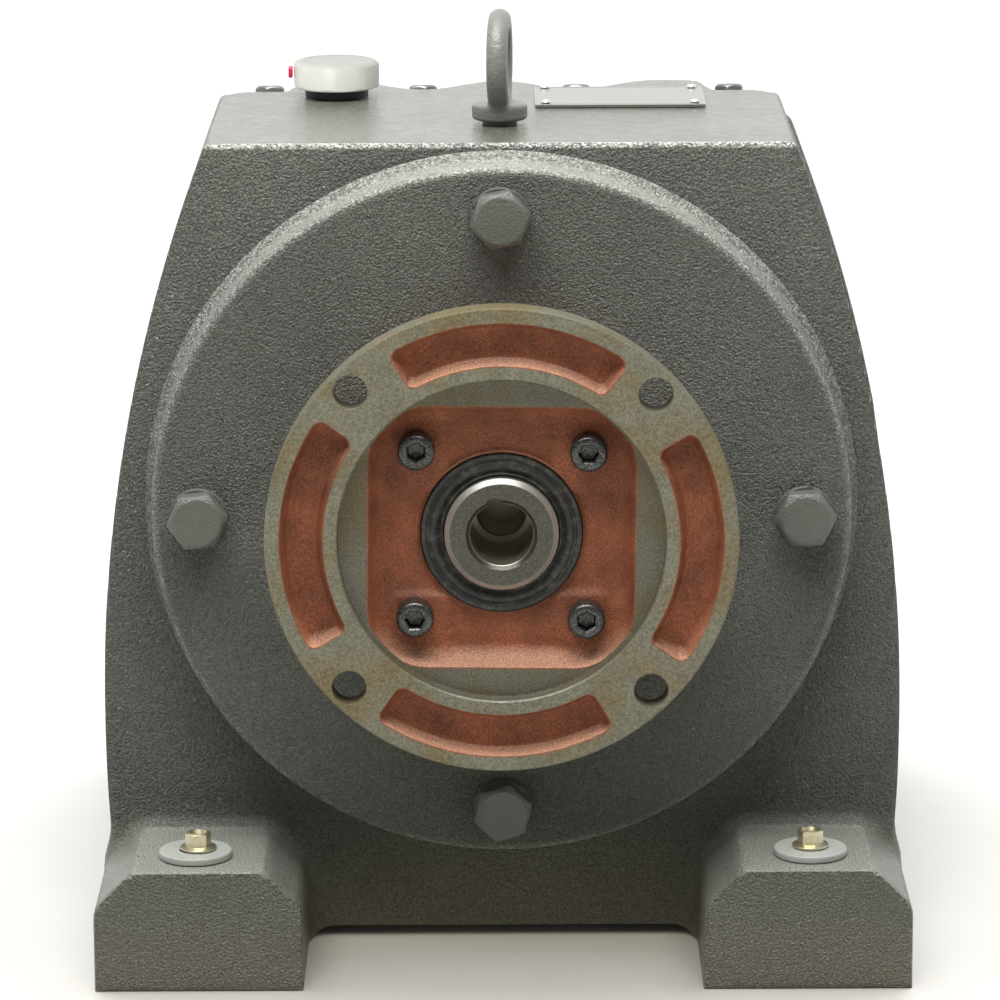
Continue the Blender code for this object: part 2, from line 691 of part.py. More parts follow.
def make_quill(materials):
    steel = materials["bright_steel"]
    pinion_front = FIRST_MESH_DEPTH - 15
    outline = [
        (0, 67.5),
        (8.5, 67.5),
        (8.5, 47),
        (QUILL_BORE_RADIUS, 47),
        (QUILL_BORE_RADIUS, QUILL_FACE + 1.4),
        (QUILL_BORE_RADIUS + 1.4, QUILL_FACE),
        (QUILL_RADIUS - 1, QUILL_FACE),
        (QUILL_RADIUS, QUILL_FACE + 1),
        (QUILL_RADIUS, 74.3),
        (22.5, 74.3),
        (22.5, 78.5),
        (16, 78.5),
        (16, pinion_front + 30),
        (0, pinion_front + 30),
    ]
    quill = turned("input_quill", steel, outline, segments=24)
    down = -math.pi / 2
    teeth = INPUT_TEETH
    pinion = gear("input_pinion_shape", steel, teeth, down, FIRST_MESH_DEPTH, 30, 1, AXIS_HEIGHT, layers=2)
    boolean(quill, guide(pinion), "UNION")
    half = QUILL_KEYWAY_WIDTH / 2
    turned_key = []
    for x, rise in ((-half, 5), (half, 5), (half, QUILL_KEYWAY_TOP), (-half, QUILL_KEYWAY_TOP)):
        across = x * math.cos(KEYWAY_TILT) - rise * math.sin(KEYWAY_TILT)
        up = x * math.sin(KEYWAY_TILT) + rise * math.cos(KEYWAY_TILT)
        turned_key.append((across, AXIS_HEIGHT + up))
    boolean(quill, cutter("quill_keyway", [(turned_key, QUILL_FACE - 5, 47, "Y")]))
    return quill


def make_input_seal(materials):
    face = POCKET_FLOOR - 1.5 + 0.2
    outline = [
        (QUILL_RADIUS + 0.3, face + 1.5),
        (QUILL_RADIUS + 1.6, face),
        (QUILL_RADIUS + 3.2, face),
        (QUILL_RADIUS + 3.8, face + 1.2),
        (QUILL_RADIUS + 5.2, face + 1.2),
        (QUILL_RADIUS + 5.8, face),
        (QUILL_RADIUS + 8.3, face),
        (QUILL_RADIUS + 8.3, 22.5),
        (QUILL_RADIUS + 0.3, 22.5),
    ]
    return turned("input_seal", materials["seal_rubber"], outline, segments=24)


def make_input_side(materials):
    make_input_cover(materials)
    make_cover_bolts(materials)
    make_motor_flange(materials)
    make_flange_screws(materials)
    make_input_seal(materials)
    make_quill(materials)
    bearing("input_bearing_front", materials["bright_steel"], BEARING_6008, 24.3, AXIS_HEIGHT)
    bearing("input_bearing_rear", materials["bright_steel"], BEARING_6208, 55, AXIS_HEIGHT)


# ---------------------------------------------------------------- shafts inside

def make_lay_shaft(materials):
    steel = materials["bright_steel"]
    gap_up = math.pi / 2 + math.pi / LAY_GEAR_TEETH
    bore = 15 + 2 * GAP
    gear("lay_gear", steel, LAY_GEAR_TEETH, gap_up, FIRST_MESH_DEPTH, 26, -1, LAY_HEIGHT, bore)
    outline = [
        (0, 82),
        (15, 82),
        (15, FIRST_MESH_DEPTH + 15),
        (17, FIRST_MESH_DEPTH + 15),
        (17, WEB_FRONT - 1),
        (12.5, WEB_FRONT - 1),
        (12.5, WEB_REAR + 1),
        (14.2, WEB_REAR + 1),
        (14.2, REAR_WALL_INSIDE - 2),
        (12.5, REAR_WALL_INSIDE - 2),
        (12.5, CASE_REAR - 7),
        (0, CASE_REAR - 7),
    ]
    shaft = turned("lay_shaft", steel, outline, (0.0, LAY_HEIGHT), SMALL_ROUND)
    gap_up = math.pi / 2 + math.pi / LAY_PINION_TEETH
    teeth = LAY_PINION_TEETH
    pinion = gear("lay_pinion_shape", steel, teeth, gap_up, SECOND_MESH_DEPTH, 44, 1, LAY_HEIGHT, layers=3)
    boolean(shaft, guide(pinion), "UNION")
    bearing("lay_bearing_front", steel, BEARING_6205, WEB_FRONT + 0.5, LAY_HEIGHT)
    bearing("lay_bearing_rear", steel, BEARING_6205, REAR_WALL_INSIDE - 1, LAY_HEIGHT)
    return shaft


def make_output_shaft(materials):
    steel = materials["bright_steel"]
    bore = 28 + 2 * GAP
    gear("output_gear", steel, OUTPUT_TEETH, -math.pi / 2, SECOND_MESH_DEPTH, 40, -1, AXIS_HEIGHT, bore)
    outline = [
        (0, 119),
        (20, 119),
        (20, WEB_REAR + 2),
        (28, WEB_REAR + 2),
        (28, SECOND_MESH_DEPTH + 22),
        (32, SECOND_MESH_DEPTH + 22),
        (32, REAR_WALL_INSIDE - 1),
        (25, REAR_WALL_INSIDE - 1),
        (25, OUTPUT_COVER_FACE + 8),
        (OUTPUT_SHAFT_RADIUS, OUTPUT_COVER_FACE + 8),
        (OUTPUT_SHAFT_RADIUS, LENGTH - 1.5),
        (OUTPUT_SHAFT_RADIUS - 1.5, LENGTH),
        (0, LENGTH),
    ]
    shaft = turned("output_shaft", steel, outline, segments=24)
    key_front = OUTPUT_COVER_FACE + 14
    key_rear = LENGTH - 8
    floor = AXIS_HEIGHT + OUTPUT_SHAFT_RADIUS - 5.5
    play = GAP / 2
    half = OUTPUT_KEY_WIDTH / 2
    slot = rounded_box(-half - play, key_front - play, half + play, key_rear + play, half)
    boolean(shaft, cutter("output_keyseat", [(slot, floor, floor + 20, "Z")]))
    bm = bmesh.new()
    key = rounded_box(-half + play, key_front + play, half - play, key_rear - play, half - 0.2)
    add_prism(bm, key, floor + GAP, floor + 9, "Z")
    add_object("output_key", bm, steel, (0, 0, 0))
    bearing("output_bearing_inner", steel, BEARING_6208, WEB_FRONT - 1, AXIS_HEIGHT)
    bearing("output_bearing_outer", steel, BEARING_6210, REAR_WALL_INSIDE, AXIS_HEIGHT)
    return shaft


def make_output_cover(materials):
    outline = [
        (37.3, CASE_REAR + GAP),
        (OUTPUT_COVER_RADIUS, CASE_REAR + GAP),
        (OUTPUT_COVER_RADIUS, OUTPUT_COVER_FACE - 2),
        (OUTPUT_COVER_RADIUS - 2, OUTPUT_COVER_FACE),
        (36.3, OUTPUT_COVER_FACE),
        (36.3, CASE_REAR + 3),
        (37.3, CASE_REAR + 3),
    ]
    cover = turned("output_cover", materials["case_paint"], outline)
    holes = [
        (hole(x, AXIS_HEIGHT + z, 4), CASE_REAR - 5, OUTPUT_COVER_FACE + 5, "Y")
        for x, z in on_circle(OUTPUT_COVER_BOLT_CIRCLE, 4, 45)
    ]
    boolean(cover, cutter("output_cover_holes", holes))
    seal_outline = [
        (25.3, 303.3),
        (36, 303.3),
        (36, OUTPUT_COVER_FACE - 0.5),
        (30, OUTPUT_COVER_FACE - 0.5),
        (28.5, OUTPUT_COVER_FACE - 1.7),
        (26.5, OUTPUT_COVER_FACE - 0.5),
        (25.3, OUTPUT_COVER_FACE - 1.5),
    ]
    turned("output_seal", materials["seal_rubber"], seal_outline, segments=24)
    face = OUTPUT_COVER_FACE + GAP
    bolt = [(hex_radii(13), 5.3), (hex_radii(13), 0), (4, 0), (4, -26)]
    first = None
    for number, (x, z) in enumerate(on_circle(OUTPUT_COVER_BOLT_CIRCLE, 4, 45), 1):
        place = row_point(x, face, AXIS_HEIGHT + z)
        if first is None:
            first = ring_solid(f"output_cover_bolt_{number}", materials["bolt_steel"], bolt, place)
        else:
            copy_object(first, f"output_cover_bolt_{number}", place, 0.3 * number)


# ---------------------------------------------------------------- top and rear fittings

def upright(obj):
    """Turns a piece made along Y so that its +Y points up."""
    obj.rotation_euler = (math.pi / 2, 0, 0)
    return obj


def inspection_layer(name, material, low, high):
    """A plate on the platform, with a tongue under each screw of the front row."""
    front = HATCH[1] - 1
    bm = bmesh.new()
    add_prism(bm, rounded_box(-98, front, 98, CASE_REAR - 4, 8), low, high, "Z")
    plate = lean_back(add_object(name, bm, material, (0, 0, 0)))
    tongues = []
    for x in INSPECTION_SCREW_X:
        tip = arc(x, INSPECTION_SCREW_DEPTHS[0], TONGUE_RADIUS, 180, 360, 8)
        root = [(x + TONGUE_RADIUS, front + 9), (x - TONGUE_RADIUS, front + 9)]
        tongues.append((tip + root, low, high, "Z"))
    boolean(plate, lean_back(cutter(f"{name}_tongues", tongues)), "UNION")
    holes = [
        (hole(x, depth, 3), low - 2, high + 2, "Z")
        for x in INSPECTION_SCREW_X
        for depth in INSPECTION_SCREW_DEPTHS
    ]
    boolean(plate, lean_back(cutter(f"{name}_holes", holes)))
    return plate


def make_inspection_cover(materials):
    gasket_low = PLATFORM_HEIGHT + GAP
    plate_low = gasket_low + GASKET_THICKNESS + GAP
    plate_high = plate_low + INSPECTION_PLATE_THICKNESS
    gasket = inspection_layer("inspection_gasket", materials["gasket_fibre"], gasket_low, plate_low - GAP)
    inspection_layer("inspection_cover", materials["case_paint"], plate_low, plate_high)
    window = (rounded_box(*HATCH, 8), gasket_low - 2, plate_low + 2, "Z")
    boolean(gasket, lean_back(cutter("gasket_window", [window])))

    top = plate_high + GAP
    bolt = [(hex_radii(10), 4), (hex_radii(10), 0), (3, 0), (3, -16)]
    first = None
    number = 0
    for depth in INSPECTION_SCREW_DEPTHS:
        for x in INSPECTION_SCREW_X:
            number += 1
            place = row_point(x, depth, top)
            if first is None:
                first = ring_solid(f"inspection_screw_{number}", materials["bolt_steel"], bolt, place)
                screw = first
            else:
                screw = copy_object(first, f"inspection_screw_{number}", place)
            lean_back(upright(screw))


def make_eyebolt(materials):
    """A lifting eye: threaded shank, round collar and a ring standing in the YZ plane."""
    seat = DECK_HEIGHT + GAP
    collar = [(6, -14), (6, 1.5), (10, 1.5), (10, 6.5), (8.5, 8.5), (5, 9)]
    eye = ring_solid("eyebolt", materials["case_paint"], collar, row_point(0, EYEBOLT_DEPTH, seat))
    upright(eye)
    bm = bmesh.new()
    spin_outline(bm, circle(EYE_RADIUS, 0, EYE_BAR_RADIUS, 8), 20)
    eye_height = seat + EYEBOLT_HEIGHT - EYE_RADIUS - EYE_BAR_RADIUS
    ring = add_object("eyebolt_ring_shape", bm, None, row_point(0, EYEBOLT_DEPTH, eye_height))
    ring.rotation_euler = (0, 0, EYE_TURN)
    boolean(eye, guide(ring), "UNION")
    return eye


def make_breather(materials):
    base = DECK_HEIGHT + GAP
    place = row_point(BREATHER_X, BREATHER_DEPTH, base)
    neck = [(8, -16), (8, 0), (11.8, 0), (11.8, 3)]
    upright(ring_solid("breather_neck", materials["black_plastic"], neck, place))
    sides = [15.9 if k % 2 else 16.1 for k in range(BOLT_SIDES)]
    cap = [(13.5, 3 + GAP), (sides, 4.2 + GAP), (sides, 12.4), (14.6, 13.6)]
    upright(ring_solid("breather_cap", materials["white_plastic"], cap, place))
    bm = bmesh.new()
    left = BREATHER_X - 16.1 - GAP
    tab = [(left - 1.5, BREATHER_DEPTH - 2.2), (left, BREATHER_DEPTH - 2.2), (left, BREATHER_DEPTH + 2.2)]
    tab.append((left - 1.5, BREATHER_DEPTH + 2.2))
    add_prism(bm, tab, base + 7, base + 11.2, "Z")
    add_object("breather_tab", bm, materials["red_plastic"], (0, 0, 0))


def make_nameplate(materials):
    low = DECK_HEIGHT + GAP
    bm = bmesh.new()
    add_prism(bm, rounded_box(PLATE_LEFT, PLATE_FRONT, PLATE_RIGHT, PLATE_REAR, 2), low, low + 1, "Z")
    plate = add_object("nameplate", bm, materials["plate_aluminium"], (0, 0, 0))
    holes = [(hole(x, depth, 0.9), low - 1, low + 3, "Z") for x, depth in rivet_places()]
    boolean(plate, cutter("nameplate_holes", holes))
    rivet = [(0.9, -4), (0.9, 0), (1.9, 0), (1.2, 1.1)]
    first = None
    for number, (x, depth) in enumerate(rivet_places(), 1):
        place = row_point(x, depth, low + 1 + GAP)
        if first is None:
            first = ring_solid(f"nameplate_rivet_{number}", materials["plate_aluminium"], rivet, place)
            pin = first
        else:
            pin = copy_object(first, f"nameplate_rivet_{number}", place)
        upright(pin)


def make_foot_fittings(materials):
    depth = FOOT_HOLE_DEPTHS[0]
    seat = FOOT_HEIGHT + GAP
    washer = [(5.5, 0), (13, 0), (13, 2.5), (5.5, 2.5)]
    dished_head = [(2.2, 4.2), (2.8, 4.6), (hex_radii(8), 6.2), (hex_radii(8), 1.2)]
    bolt = dished_head + [(6.5, 1.0), (6.5, 0), (4, 0), (4, -44)]
    for name, side, shift in (("left", -1, 1.0), ("right", 1, 0.0)):
        x = side * FOOT_HOLE_X
        bm = bmesh.new()
        spin_outline(bm, washer, SMALL_ROUND)
        ring = add_object(f"foot_washer_{name}", bm, materials["washer_paint"], row_point(x, depth, seat))
        upright(ring)
        place = row_point(x + shift, depth, seat + 2.5 + GAP)
        upright(ring_solid(f"foot_bolt_{name}", materials["zinc_yellow"], bolt, place))


def make_plugs(materials):
    plug = [(hex_radii(14), 6), (hex_radii(14), 1.5), (10, 1.5), (10, 0), (7, 0), (7, -12)]
    names = ("oil_level_plug", "oil_drain_plug")
    for name, (x, height) in zip(names, PLUG_PLACES):
        ring_solid(name, materials["bolt_steel"], plug, row_point(x, CASE_REAR + GAP, height))


def main():
    for obj in list(bpy.data.objects):
        bpy.data.objects.remove(obj)
    materials = make_materials()
    make_case(materials)
    make_input_side(materials)
    make_lay_shaft(materials)
    make_output_shaft(materials)
    make_output_cover(materials)
    make_inspection_cover(materials)
    make_eyebolt(materials)
    make_breather(materials)
    make_nameplate(materials)
    make_foot_fittings(materials)
    make_plugs(materials)


main()
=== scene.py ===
import itertools
import math

import bmesh
import bpy
import numpy as np
from mathutils import Matrix, Vector


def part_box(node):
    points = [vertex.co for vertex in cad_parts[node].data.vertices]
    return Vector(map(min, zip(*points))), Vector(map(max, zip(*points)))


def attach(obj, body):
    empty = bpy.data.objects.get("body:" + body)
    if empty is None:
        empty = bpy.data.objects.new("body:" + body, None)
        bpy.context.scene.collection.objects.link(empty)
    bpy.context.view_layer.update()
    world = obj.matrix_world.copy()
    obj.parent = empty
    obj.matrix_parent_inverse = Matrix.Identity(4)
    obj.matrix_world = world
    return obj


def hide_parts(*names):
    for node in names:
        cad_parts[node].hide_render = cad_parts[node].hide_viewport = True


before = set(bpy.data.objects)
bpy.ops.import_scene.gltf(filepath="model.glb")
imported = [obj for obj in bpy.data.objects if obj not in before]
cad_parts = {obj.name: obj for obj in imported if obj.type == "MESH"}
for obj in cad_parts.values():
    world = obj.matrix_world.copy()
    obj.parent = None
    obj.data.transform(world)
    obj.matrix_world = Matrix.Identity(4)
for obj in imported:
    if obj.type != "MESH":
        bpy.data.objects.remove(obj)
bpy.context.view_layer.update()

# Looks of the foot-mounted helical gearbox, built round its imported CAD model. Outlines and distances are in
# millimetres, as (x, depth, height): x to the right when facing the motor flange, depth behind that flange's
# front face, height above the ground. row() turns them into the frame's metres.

MM = 0.001
FRONT_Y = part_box("motor_flange")[0].y


def row(x, depth, height):
    return Vector((x * MM, FRONT_Y + depth * MM, height * MM))


def corners(node):
    """A CAD node's lowest and highest corners, as (x, depth, height) in millimetres."""
    return [Vector((p.x / MM, (p.y - FRONT_Y) / MM, p.z / MM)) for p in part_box(node)]


def middle(node):
    low, high = corners(node)
    return (low + high) / 2


AXIS_HEIGHT = middle("input_seal").z
LAY_HEIGHT = middle("lay_gear").z
ORIGIN, MAIN, LAY = Vector((0, 0, 0)), Vector((0, 0, AXIS_HEIGHT)), Vector((0, 0, LAY_HEIGHT))
DECK_HEIGHT = corners("nameplate")[0].z - 0.3
COVER_FACE = corners("input_cover")[0].y
CASE_FRONT = 61.0
CASE_REAR = corners("output_cover")[0].y - 0.3


# ---------------------------------------------------------------- materials

class Material:
    """A procedural material. Its nodes are added by name, and inputs take numbers, colours or other nodes."""

    def __init__(self, name):
        self.data = bpy.data.materials.new(name)
        self.data.use_nodes = True
        self.tree = self.data.node_tree
        self.shader = self.tree.nodes["Principled BSDF"]
        self.place = self.add("TexCoord").outputs["Object"]

    def put(self, socket, value):
        if isinstance(value, bpy.types.NodeSocket):
            self.tree.links.new(value, socket)
        elif isinstance(value, tuple) and len(value) == 3 and socket.type == "RGBA":
            socket.default_value = (*value, 1.0)
        else:
            socket.default_value = value

    def add(self, kind, settings=None, **inputs):
        node = self.tree.nodes.new("ShaderNode" + kind)
        for key, value in (settings or {}).items():
            setattr(node, key, value)
        for key, value in inputs.items():
            self.put(node.inputs[int(key[1:]) if key[1:].isdigit() else key.replace("_", " ")], value)
        return node

    def math(self, operation, first, second):
        return self.add("Math", {"operation": operation}, i0=first, i1=second).outputs[0]

    def noise(self, size, detail, roughness=0.55, place=None, distortion=0.0):
        """Noise from 0 to 1 whose lumps are about size millimetres across."""
        node = self.add(
            "TexNoise", Vector=place or self.place, Scale=1 / (size * MM), Detail=detail, Roughness=roughness,
            Distortion=distortion
        )
        return node.outputs["Fac"]

    def ramp(self, value, *stops):
        """A colour or grey ramp through (position, grey or colour) stops."""
        node = self.add("ValToRGB", Fac=value)
        elements = node.color_ramp.elements
        while len(elements) < len(stops):
            elements.new(1.0)
        for element, (position, colour) in zip(elements, stops):
            element.position = position
            colour = (colour,) * 3 if isinstance(colour, (int, float)) else colour
            element.color = (*colour, 1.0)
        return node.outputs["Color"]

    def mix(self, share, first, second, blend="MIX"):
        settings = {"data_type": "RGBA", "blend_type": blend}
        node = self.add("Mix", settings, i0=share)
        self.put(node.inputs[6], first)
        self.put(node.inputs[7], second)
        return node.outputs[2]

    def span(self, value, low, high):
        """Stretches 0..1 to low..high."""
        return self.add("MapRange", Value=value, To_Min=low, To_Max=high).outputs[0]

    def bump(self, height, distance, strength=1.0, after=None):
        inputs = {"Height": height, "Distance": distance * MM, "Strength": strength}
        if after is not None:
            inputs["Normal"] = after
        return self.add("Bump", **inputs).outputs["Normal"]

    def facing_up(self):
        """How far the surface faces up, from -1 to 1."""
        normal = self.add("NewGeometry").outputs["Normal"]
        return self.add("SeparateXYZ", Vector=normal).outputs["Z"]

    def hypotenuse(self, a, b):
        squares = self.math("ADD", self.math("MULTIPLY", a, a), self.math("MULTIPLY", b, b))
        return self.math("POWER", squares, 0.5)

    def radius_from_axis(self):
        """Distance from the main axis, in metres."""
        parts = self.add("SeparateXYZ", Vector=self.place)
        up = self.math("SUBTRACT", parts.outputs["Z"], AXIS_HEIGHT * MM)
        return self.hypotenuse(parts.outputs["X"], up)

    def turning_marks(self, radius, scale=3500.0):
        """Fine rings round the main axis, from 0 to 1."""
        settings = {"noise_dimensions": "1D"}
        return self.add("TexNoise", settings, W=radius, Scale=scale, Detail=2.0).outputs["Fac"]

    def finish(self, colour, roughness, metallic=0.0, normal=None, **others):
        self.put(self.shader.inputs["Base Color"], colour)
        self.put(self.shader.inputs["Roughness"], roughness)
        self.put(self.shader.inputs["Metallic"], metallic)
        if normal is not None:
            self.put(self.shader.inputs["Normal"], normal)
        for name, value in others.items():
            self.put(self.shader.inputs[name.replace("_", " ")], value)
        return self.data


def enamel(name, dark, light, grain, depth, roughness, smooth_top=False, specks=0.0, painted_top_light=0.0):
    """Semi-gloss enamel over metal. grain is the size of its bumps, and depth their height. A smooth top is
    one that was machined before it was painted. specks is how many pale glints are painted on its grains, and
    the last argument how much painted light lies on what faces up, which also brings in painted floor bounce
    near the ground and a painted highlight along an edge."""
    m = Material(name)
    colour = m.mix(m.ramp(m.noise(38, 4), (0.32, 0.0), (0.7, 1.0)), dark, light)
    pores = m.ramp(m.noise(grain * 0.9, 2), (0.3, 0.72), (0.42, 1.0))
    colour = m.mix(1.0, colour, pores, "MULTIPLY")
    if specks:
        # Pale specks are painted in as glints off the casting's grains.
        dust = m.math("MULTIPLY", m.ramp(m.noise(1.5, 2.5), (0.7, 0.0), (0.76, 1.0)), specks)
        colour = m.mix(dust, colour, (0.42, 0.43, 0.38))
    if painted_top_light:
        # Painted light from above: what faces up is painted lighter.
        film = m.ramp(m.facing_up(), (0.45, 0.0), (0.9, painted_top_light))
        parts = m.add("SeparateXYZ", Vector=m.place)
        decimetres_up = m.math("MULTIPLY", parts.outputs["Z"], 10.0)
        # On the case this painted top light is kept low, to the tops of the feet.
        if smooth_top:
            film = m.math("MULTIPLY", film, m.ramp(decimetres_up, (0.55, 1.0), (0.7, 0.0)))
        colour = m.mix(film, colour, (0.27, 0.285, 0.25))
        # Warmer and lighter towards the ground: painted bounce light from a warm floor.
        colour = m.mix(m.ramp(decimetres_up, (0.0, 0.7), (0.5, 0.0)), colour, (0.2, 0.185, 0.13))
        # A painted highlight: along the deck's front edge on the case, round the rim on the covers.
        painted_highlight = painted_edge_highlight(m, parts) if smooth_top else painted_rim_highlight(m)
        colour = m.mix(painted_highlight, colour, (0.62, 0.63, 0.58))
    if specks:
        colour = m.mix(1.0, colour, m.ramp(m.noise(0.8, 3, 0.65), (0.36, 0.58), (0.66, 1.46)), "MULTIPLY")
    cells = {"Vector": m.place, "Scale": 1 / (grain * 1.5 * MM), "Smoothness": 0.4}
    lumps = m.add("TexVoronoi", {"feature": "SMOOTH_F1"}, **cells).outputs["Distance"]
    heights = m.math("ADD", m.noise(grain, 3, 0.6), m.math("MULTIPLY", lumps, -0.8))
    heights = m.math("ADD", heights, m.math("MULTIPLY", m.noise(grain * 3.4, 2), 0.45))
    rough = m.span(m.noise(6, 3), roughness - 0.07, roughness + 0.1)
    if smooth_top:
        flat = m.ramp(m.facing_up(), (0.9, 1.0), (0.97, 0.1))
        heights = m.math("MULTIPLY", heights, flat)
        rough = m.math("SUBTRACT", rough, m.math("MULTIPLY", m.math("SUBTRACT", 1.0, flat), 0.1))
    return m.finish(colour, rough, 0.0, m.bump(heights, depth), Specular_IOR_Level=0.5)


def painted_edge_highlight(m, parts):
    """A painted highlight that sparkles in patches along the front edge of the deck."""
    back = m.math("SUBTRACT", parts.outputs["Y"], FRONT_Y + CASE_FRONT * MM)
    down = m.math("SUBTRACT", parts.outputs["Z"], DECK_HEIGHT * MM)
    away = m.math("MULTIPLY", m.hypotenuse(back, down), 200.0)
    patchy = m.ramp(m.noise(1.6, 3, 0.6), (0.4, 0.25), (0.56, 1.0))
    return m.math("MULTIPLY", m.ramp(away, (0.2, 1.0), (0.42, 0.0)), patchy)


def painted_rim_highlight(m):
    """A painted highlight in patches round the edge of the input cover, on what faces up."""
    ring = m.ramp(m.math("MULTIPLY", m.radius_from_axis(), 5.0), (0.608, 0.0), (0.618, 1.0))
    patchy = m.ramp(m.noise(1.6, 3, 0.6), (0.4, 0.12), (0.62, 0.6))
    return m.math("MULTIPLY", m.math("MULTIPLY", ring, patchy), m.span(m.facing_up(), 0.45, 1.0))


def oxide():
    """Red oxide primer sprayed over a rough casting, painted lighter where it faces up as painted light from
    above.
    """
    m = Material("red_oxide")
    cloud = m.ramp(m.noise(14, 4), (0.3, 0.0), (0.72, 1.0))
    colour = m.mix(cloud, (0.135, 0.036, 0.012), (0.27, 0.082, 0.031))
    # Painted light: what faces up is painted a lighter, pinker red.
    colour = m.mix(m.ramp(m.facing_up(), (0.25, 0.0), (0.9, 0.55)), colour, (0.5, 0.29, 0.19))
    grain = m.noise(0.8, 3, 0.6)
    colour = m.mix(1.0, colour, m.ramp(m.noise(0.6, 3, 0.65), (0.34, 0.5), (0.66, 1.5)), "MULTIPLY")
    normal = m.bump(m.noise(4, 3), 0.6, 0.6, m.bump(grain, 0.34))
    return m.finish(colour, m.span(grain, 0.55, 0.85), 0.0, normal)


def turned_iron():
    """Machined grey iron: fine rings round the axis, oiled, going brown towards the rim."""
    m = Material("turned_iron")
    radius = m.radius_from_axis()
    rings = m.turning_marks(radius, 2600.0)
    base = m.mix(m.ramp(m.noise(16, 4), (0.3, 0.0), (0.7, 1.0)), (0.125, 0.12, 0.078), (0.18, 0.173, 0.12))
    grain = m.noise(0.5, 3, 0.65)
    colour = m.mix(m.ramp(grain, (0.42, 0.0), (0.62, 1.0)), base, (0.21, 0.203, 0.15))
    colour = m.mix(m.ramp(m.noise(30, 4), (0.48, 0.0), (0.62, 0.7)), colour, (0.17, 0.125, 0.05))
    # Painted shade: darker inside the pilot recess, within the pilot's radius.
    painted_recess_shade = m.ramp(m.math("MULTIPLY", radius, 10.0), (0.572, 0.68), (0.578, 1.0))
    colour = m.mix(1.0, colour, painted_recess_shade, "MULTIPLY")
    colour = m.mix(1.0, colour, m.ramp(m.noise(0.8, 3, 0.65), (0.34, 0.62), (0.66, 1.24)), "MULTIPLY")
    normal = m.bump(grain, 0.07, 0.8, m.bump(rings, 0.03, 0.6))
    return m.finish(colour, m.span(m.noise(3, 3), 0.38, 0.56), 0.35, normal)


def steel(name, colour, roughness, turned_about_axis=False):
    m = Material(name)
    lines = m.turning_marks(m.radius_from_axis()) if turned_about_axis else m.noise(0.6, 2)
    tone = m.mix(1.0, colour, m.ramp(m.noise(7, 4), (0.35, 0.8), (0.7, 1.0)), "MULTIPLY")
    dull = m.span(m.noise(2.5, 3), roughness - 0.05, roughness + 0.1)
    return m.finish(tone, dull, 1.0, m.bump(lines, 0.01, 0.5))


def black_oxide():
    m = Material("black_oxide")
    grain = m.noise(0.5, 3)
    colour = m.mix(m.ramp(grain, (0.4, 0.0), (0.66, 1.0)), (0.025, 0.025, 0.024), (0.12, 0.122, 0.115))
    return m.finish(colour, m.span(m.noise(2, 2), 0.2, 0.36), 0.7, m.bump(grain, 0.05, 0.8))


def rubber():
    """Black rubber with pale grease and dust rubbed over its ridges."""
    m = Material("nitrile")
    dust = m.ramp(m.noise(4, 5, 0.7), (0.5, 0.0), (0.72, 0.9))
    colour = m.mix(dust, (0.014, 0.014, 0.013), (0.1, 0.098, 0.07))
    grain = m.noise(0.5, 3, 0.6)
    colour = m.mix(1.0, colour, m.ramp(grain, (0.34, 0.45), (0.66, 1.35)), "MULTIPLY")
    return m.finish(colour, m.span(grain, 0.4, 0.65), 0.0, m.bump(grain, 0.12, 0.8))


def quill_steel():
    """Sawn and blued end face, with a bright turned chamfer round it."""
    m = Material("quill_steel")
    radius = m.radius_from_axis()
    rings = m.turning_marks(radius)
    grain = m.noise(0.5, 3, 0.6)
    face = m.mix(m.ramp(grain, (0.35, 0.0), (0.65, 1.0)), (0.05, 0.049, 0.04), (0.12, 0.118, 0.1))
    bright = m.ramp(m.math("MULTIPLY", radius, 40.0), (0.725, 0.0), (0.74, 1.0))
    colour = m.mix(bright, face, (0.62, 0.61, 0.56))
    # Painted light in the bore: it is painted lighter where little light reaches.
    inside = m.ramp(m.math("MULTIPLY", radius, 40.0), (0.45, 1.0), (0.458, 0.0))
    colour = m.mix(inside, colour, (0.38, 0.36, 0.3))
    normal = m.bump(grain, 0.05, 0.6, m.bump(rings, 0.01, 0.5))
    return m.finish(colour, m.span(m.noise(2.5, 3), 0.28, 0.44), 0.85, normal)


def yellow_zinc():
    m = Material("yellow_zinc")
    stops = (0.3, (0.44, 0.4, 0.28)), (0.5, (0.58, 0.53, 0.35)), (0.68, (0.55, 0.52, 0.42))
    film = m.ramp(m.noise(2.2, 3, distortion=0.6), *stops)
    return m.finish(film, m.span(m.noise(1, 2), 0.22, 0.42), 0.9, m.bump(m.noise(0.5, 2), 0.015, 0.6))


def plastic(name, dark, light, roughness):
    m = Material(name)
    colour = m.mix(m.noise(5, 4), dark, light)
    bumps = m.noise(0.7, 2)
    return m.finish(colour, m.span(bumps, roughness - 0.06, roughness + 0.1), 0.0, m.bump(bumps, 0.03, 0.5))


def sheet_aluminium():
    m = Material("satin_aluminium")
    streaks = m.add("Mapping", Vector=m.place, Scale=(0.05, 1.0, 1.0)).outputs[0]
    brushed = m.noise(0.35, 2, place=streaks)
    colour = m.mix(m.noise(9, 4), (0.46, 0.46, 0.43), (0.56, 0.56, 0.52))
    return m.finish(colour, m.span(brushed, 0.3, 0.46), 0.85, m.bump(brushed, 0.008, 0.6))


def fibre():
    m = Material("gasket_fibre")
    grain = m.noise(0.6, 4, 0.7)
    colour = m.mix(grain, (0.1, 0.08, 0.05), (0.22, 0.18, 0.12))
    return m.finish(colour, m.span(grain, 0.75, 0.95), 0.0, m.bump(grain, 0.05))


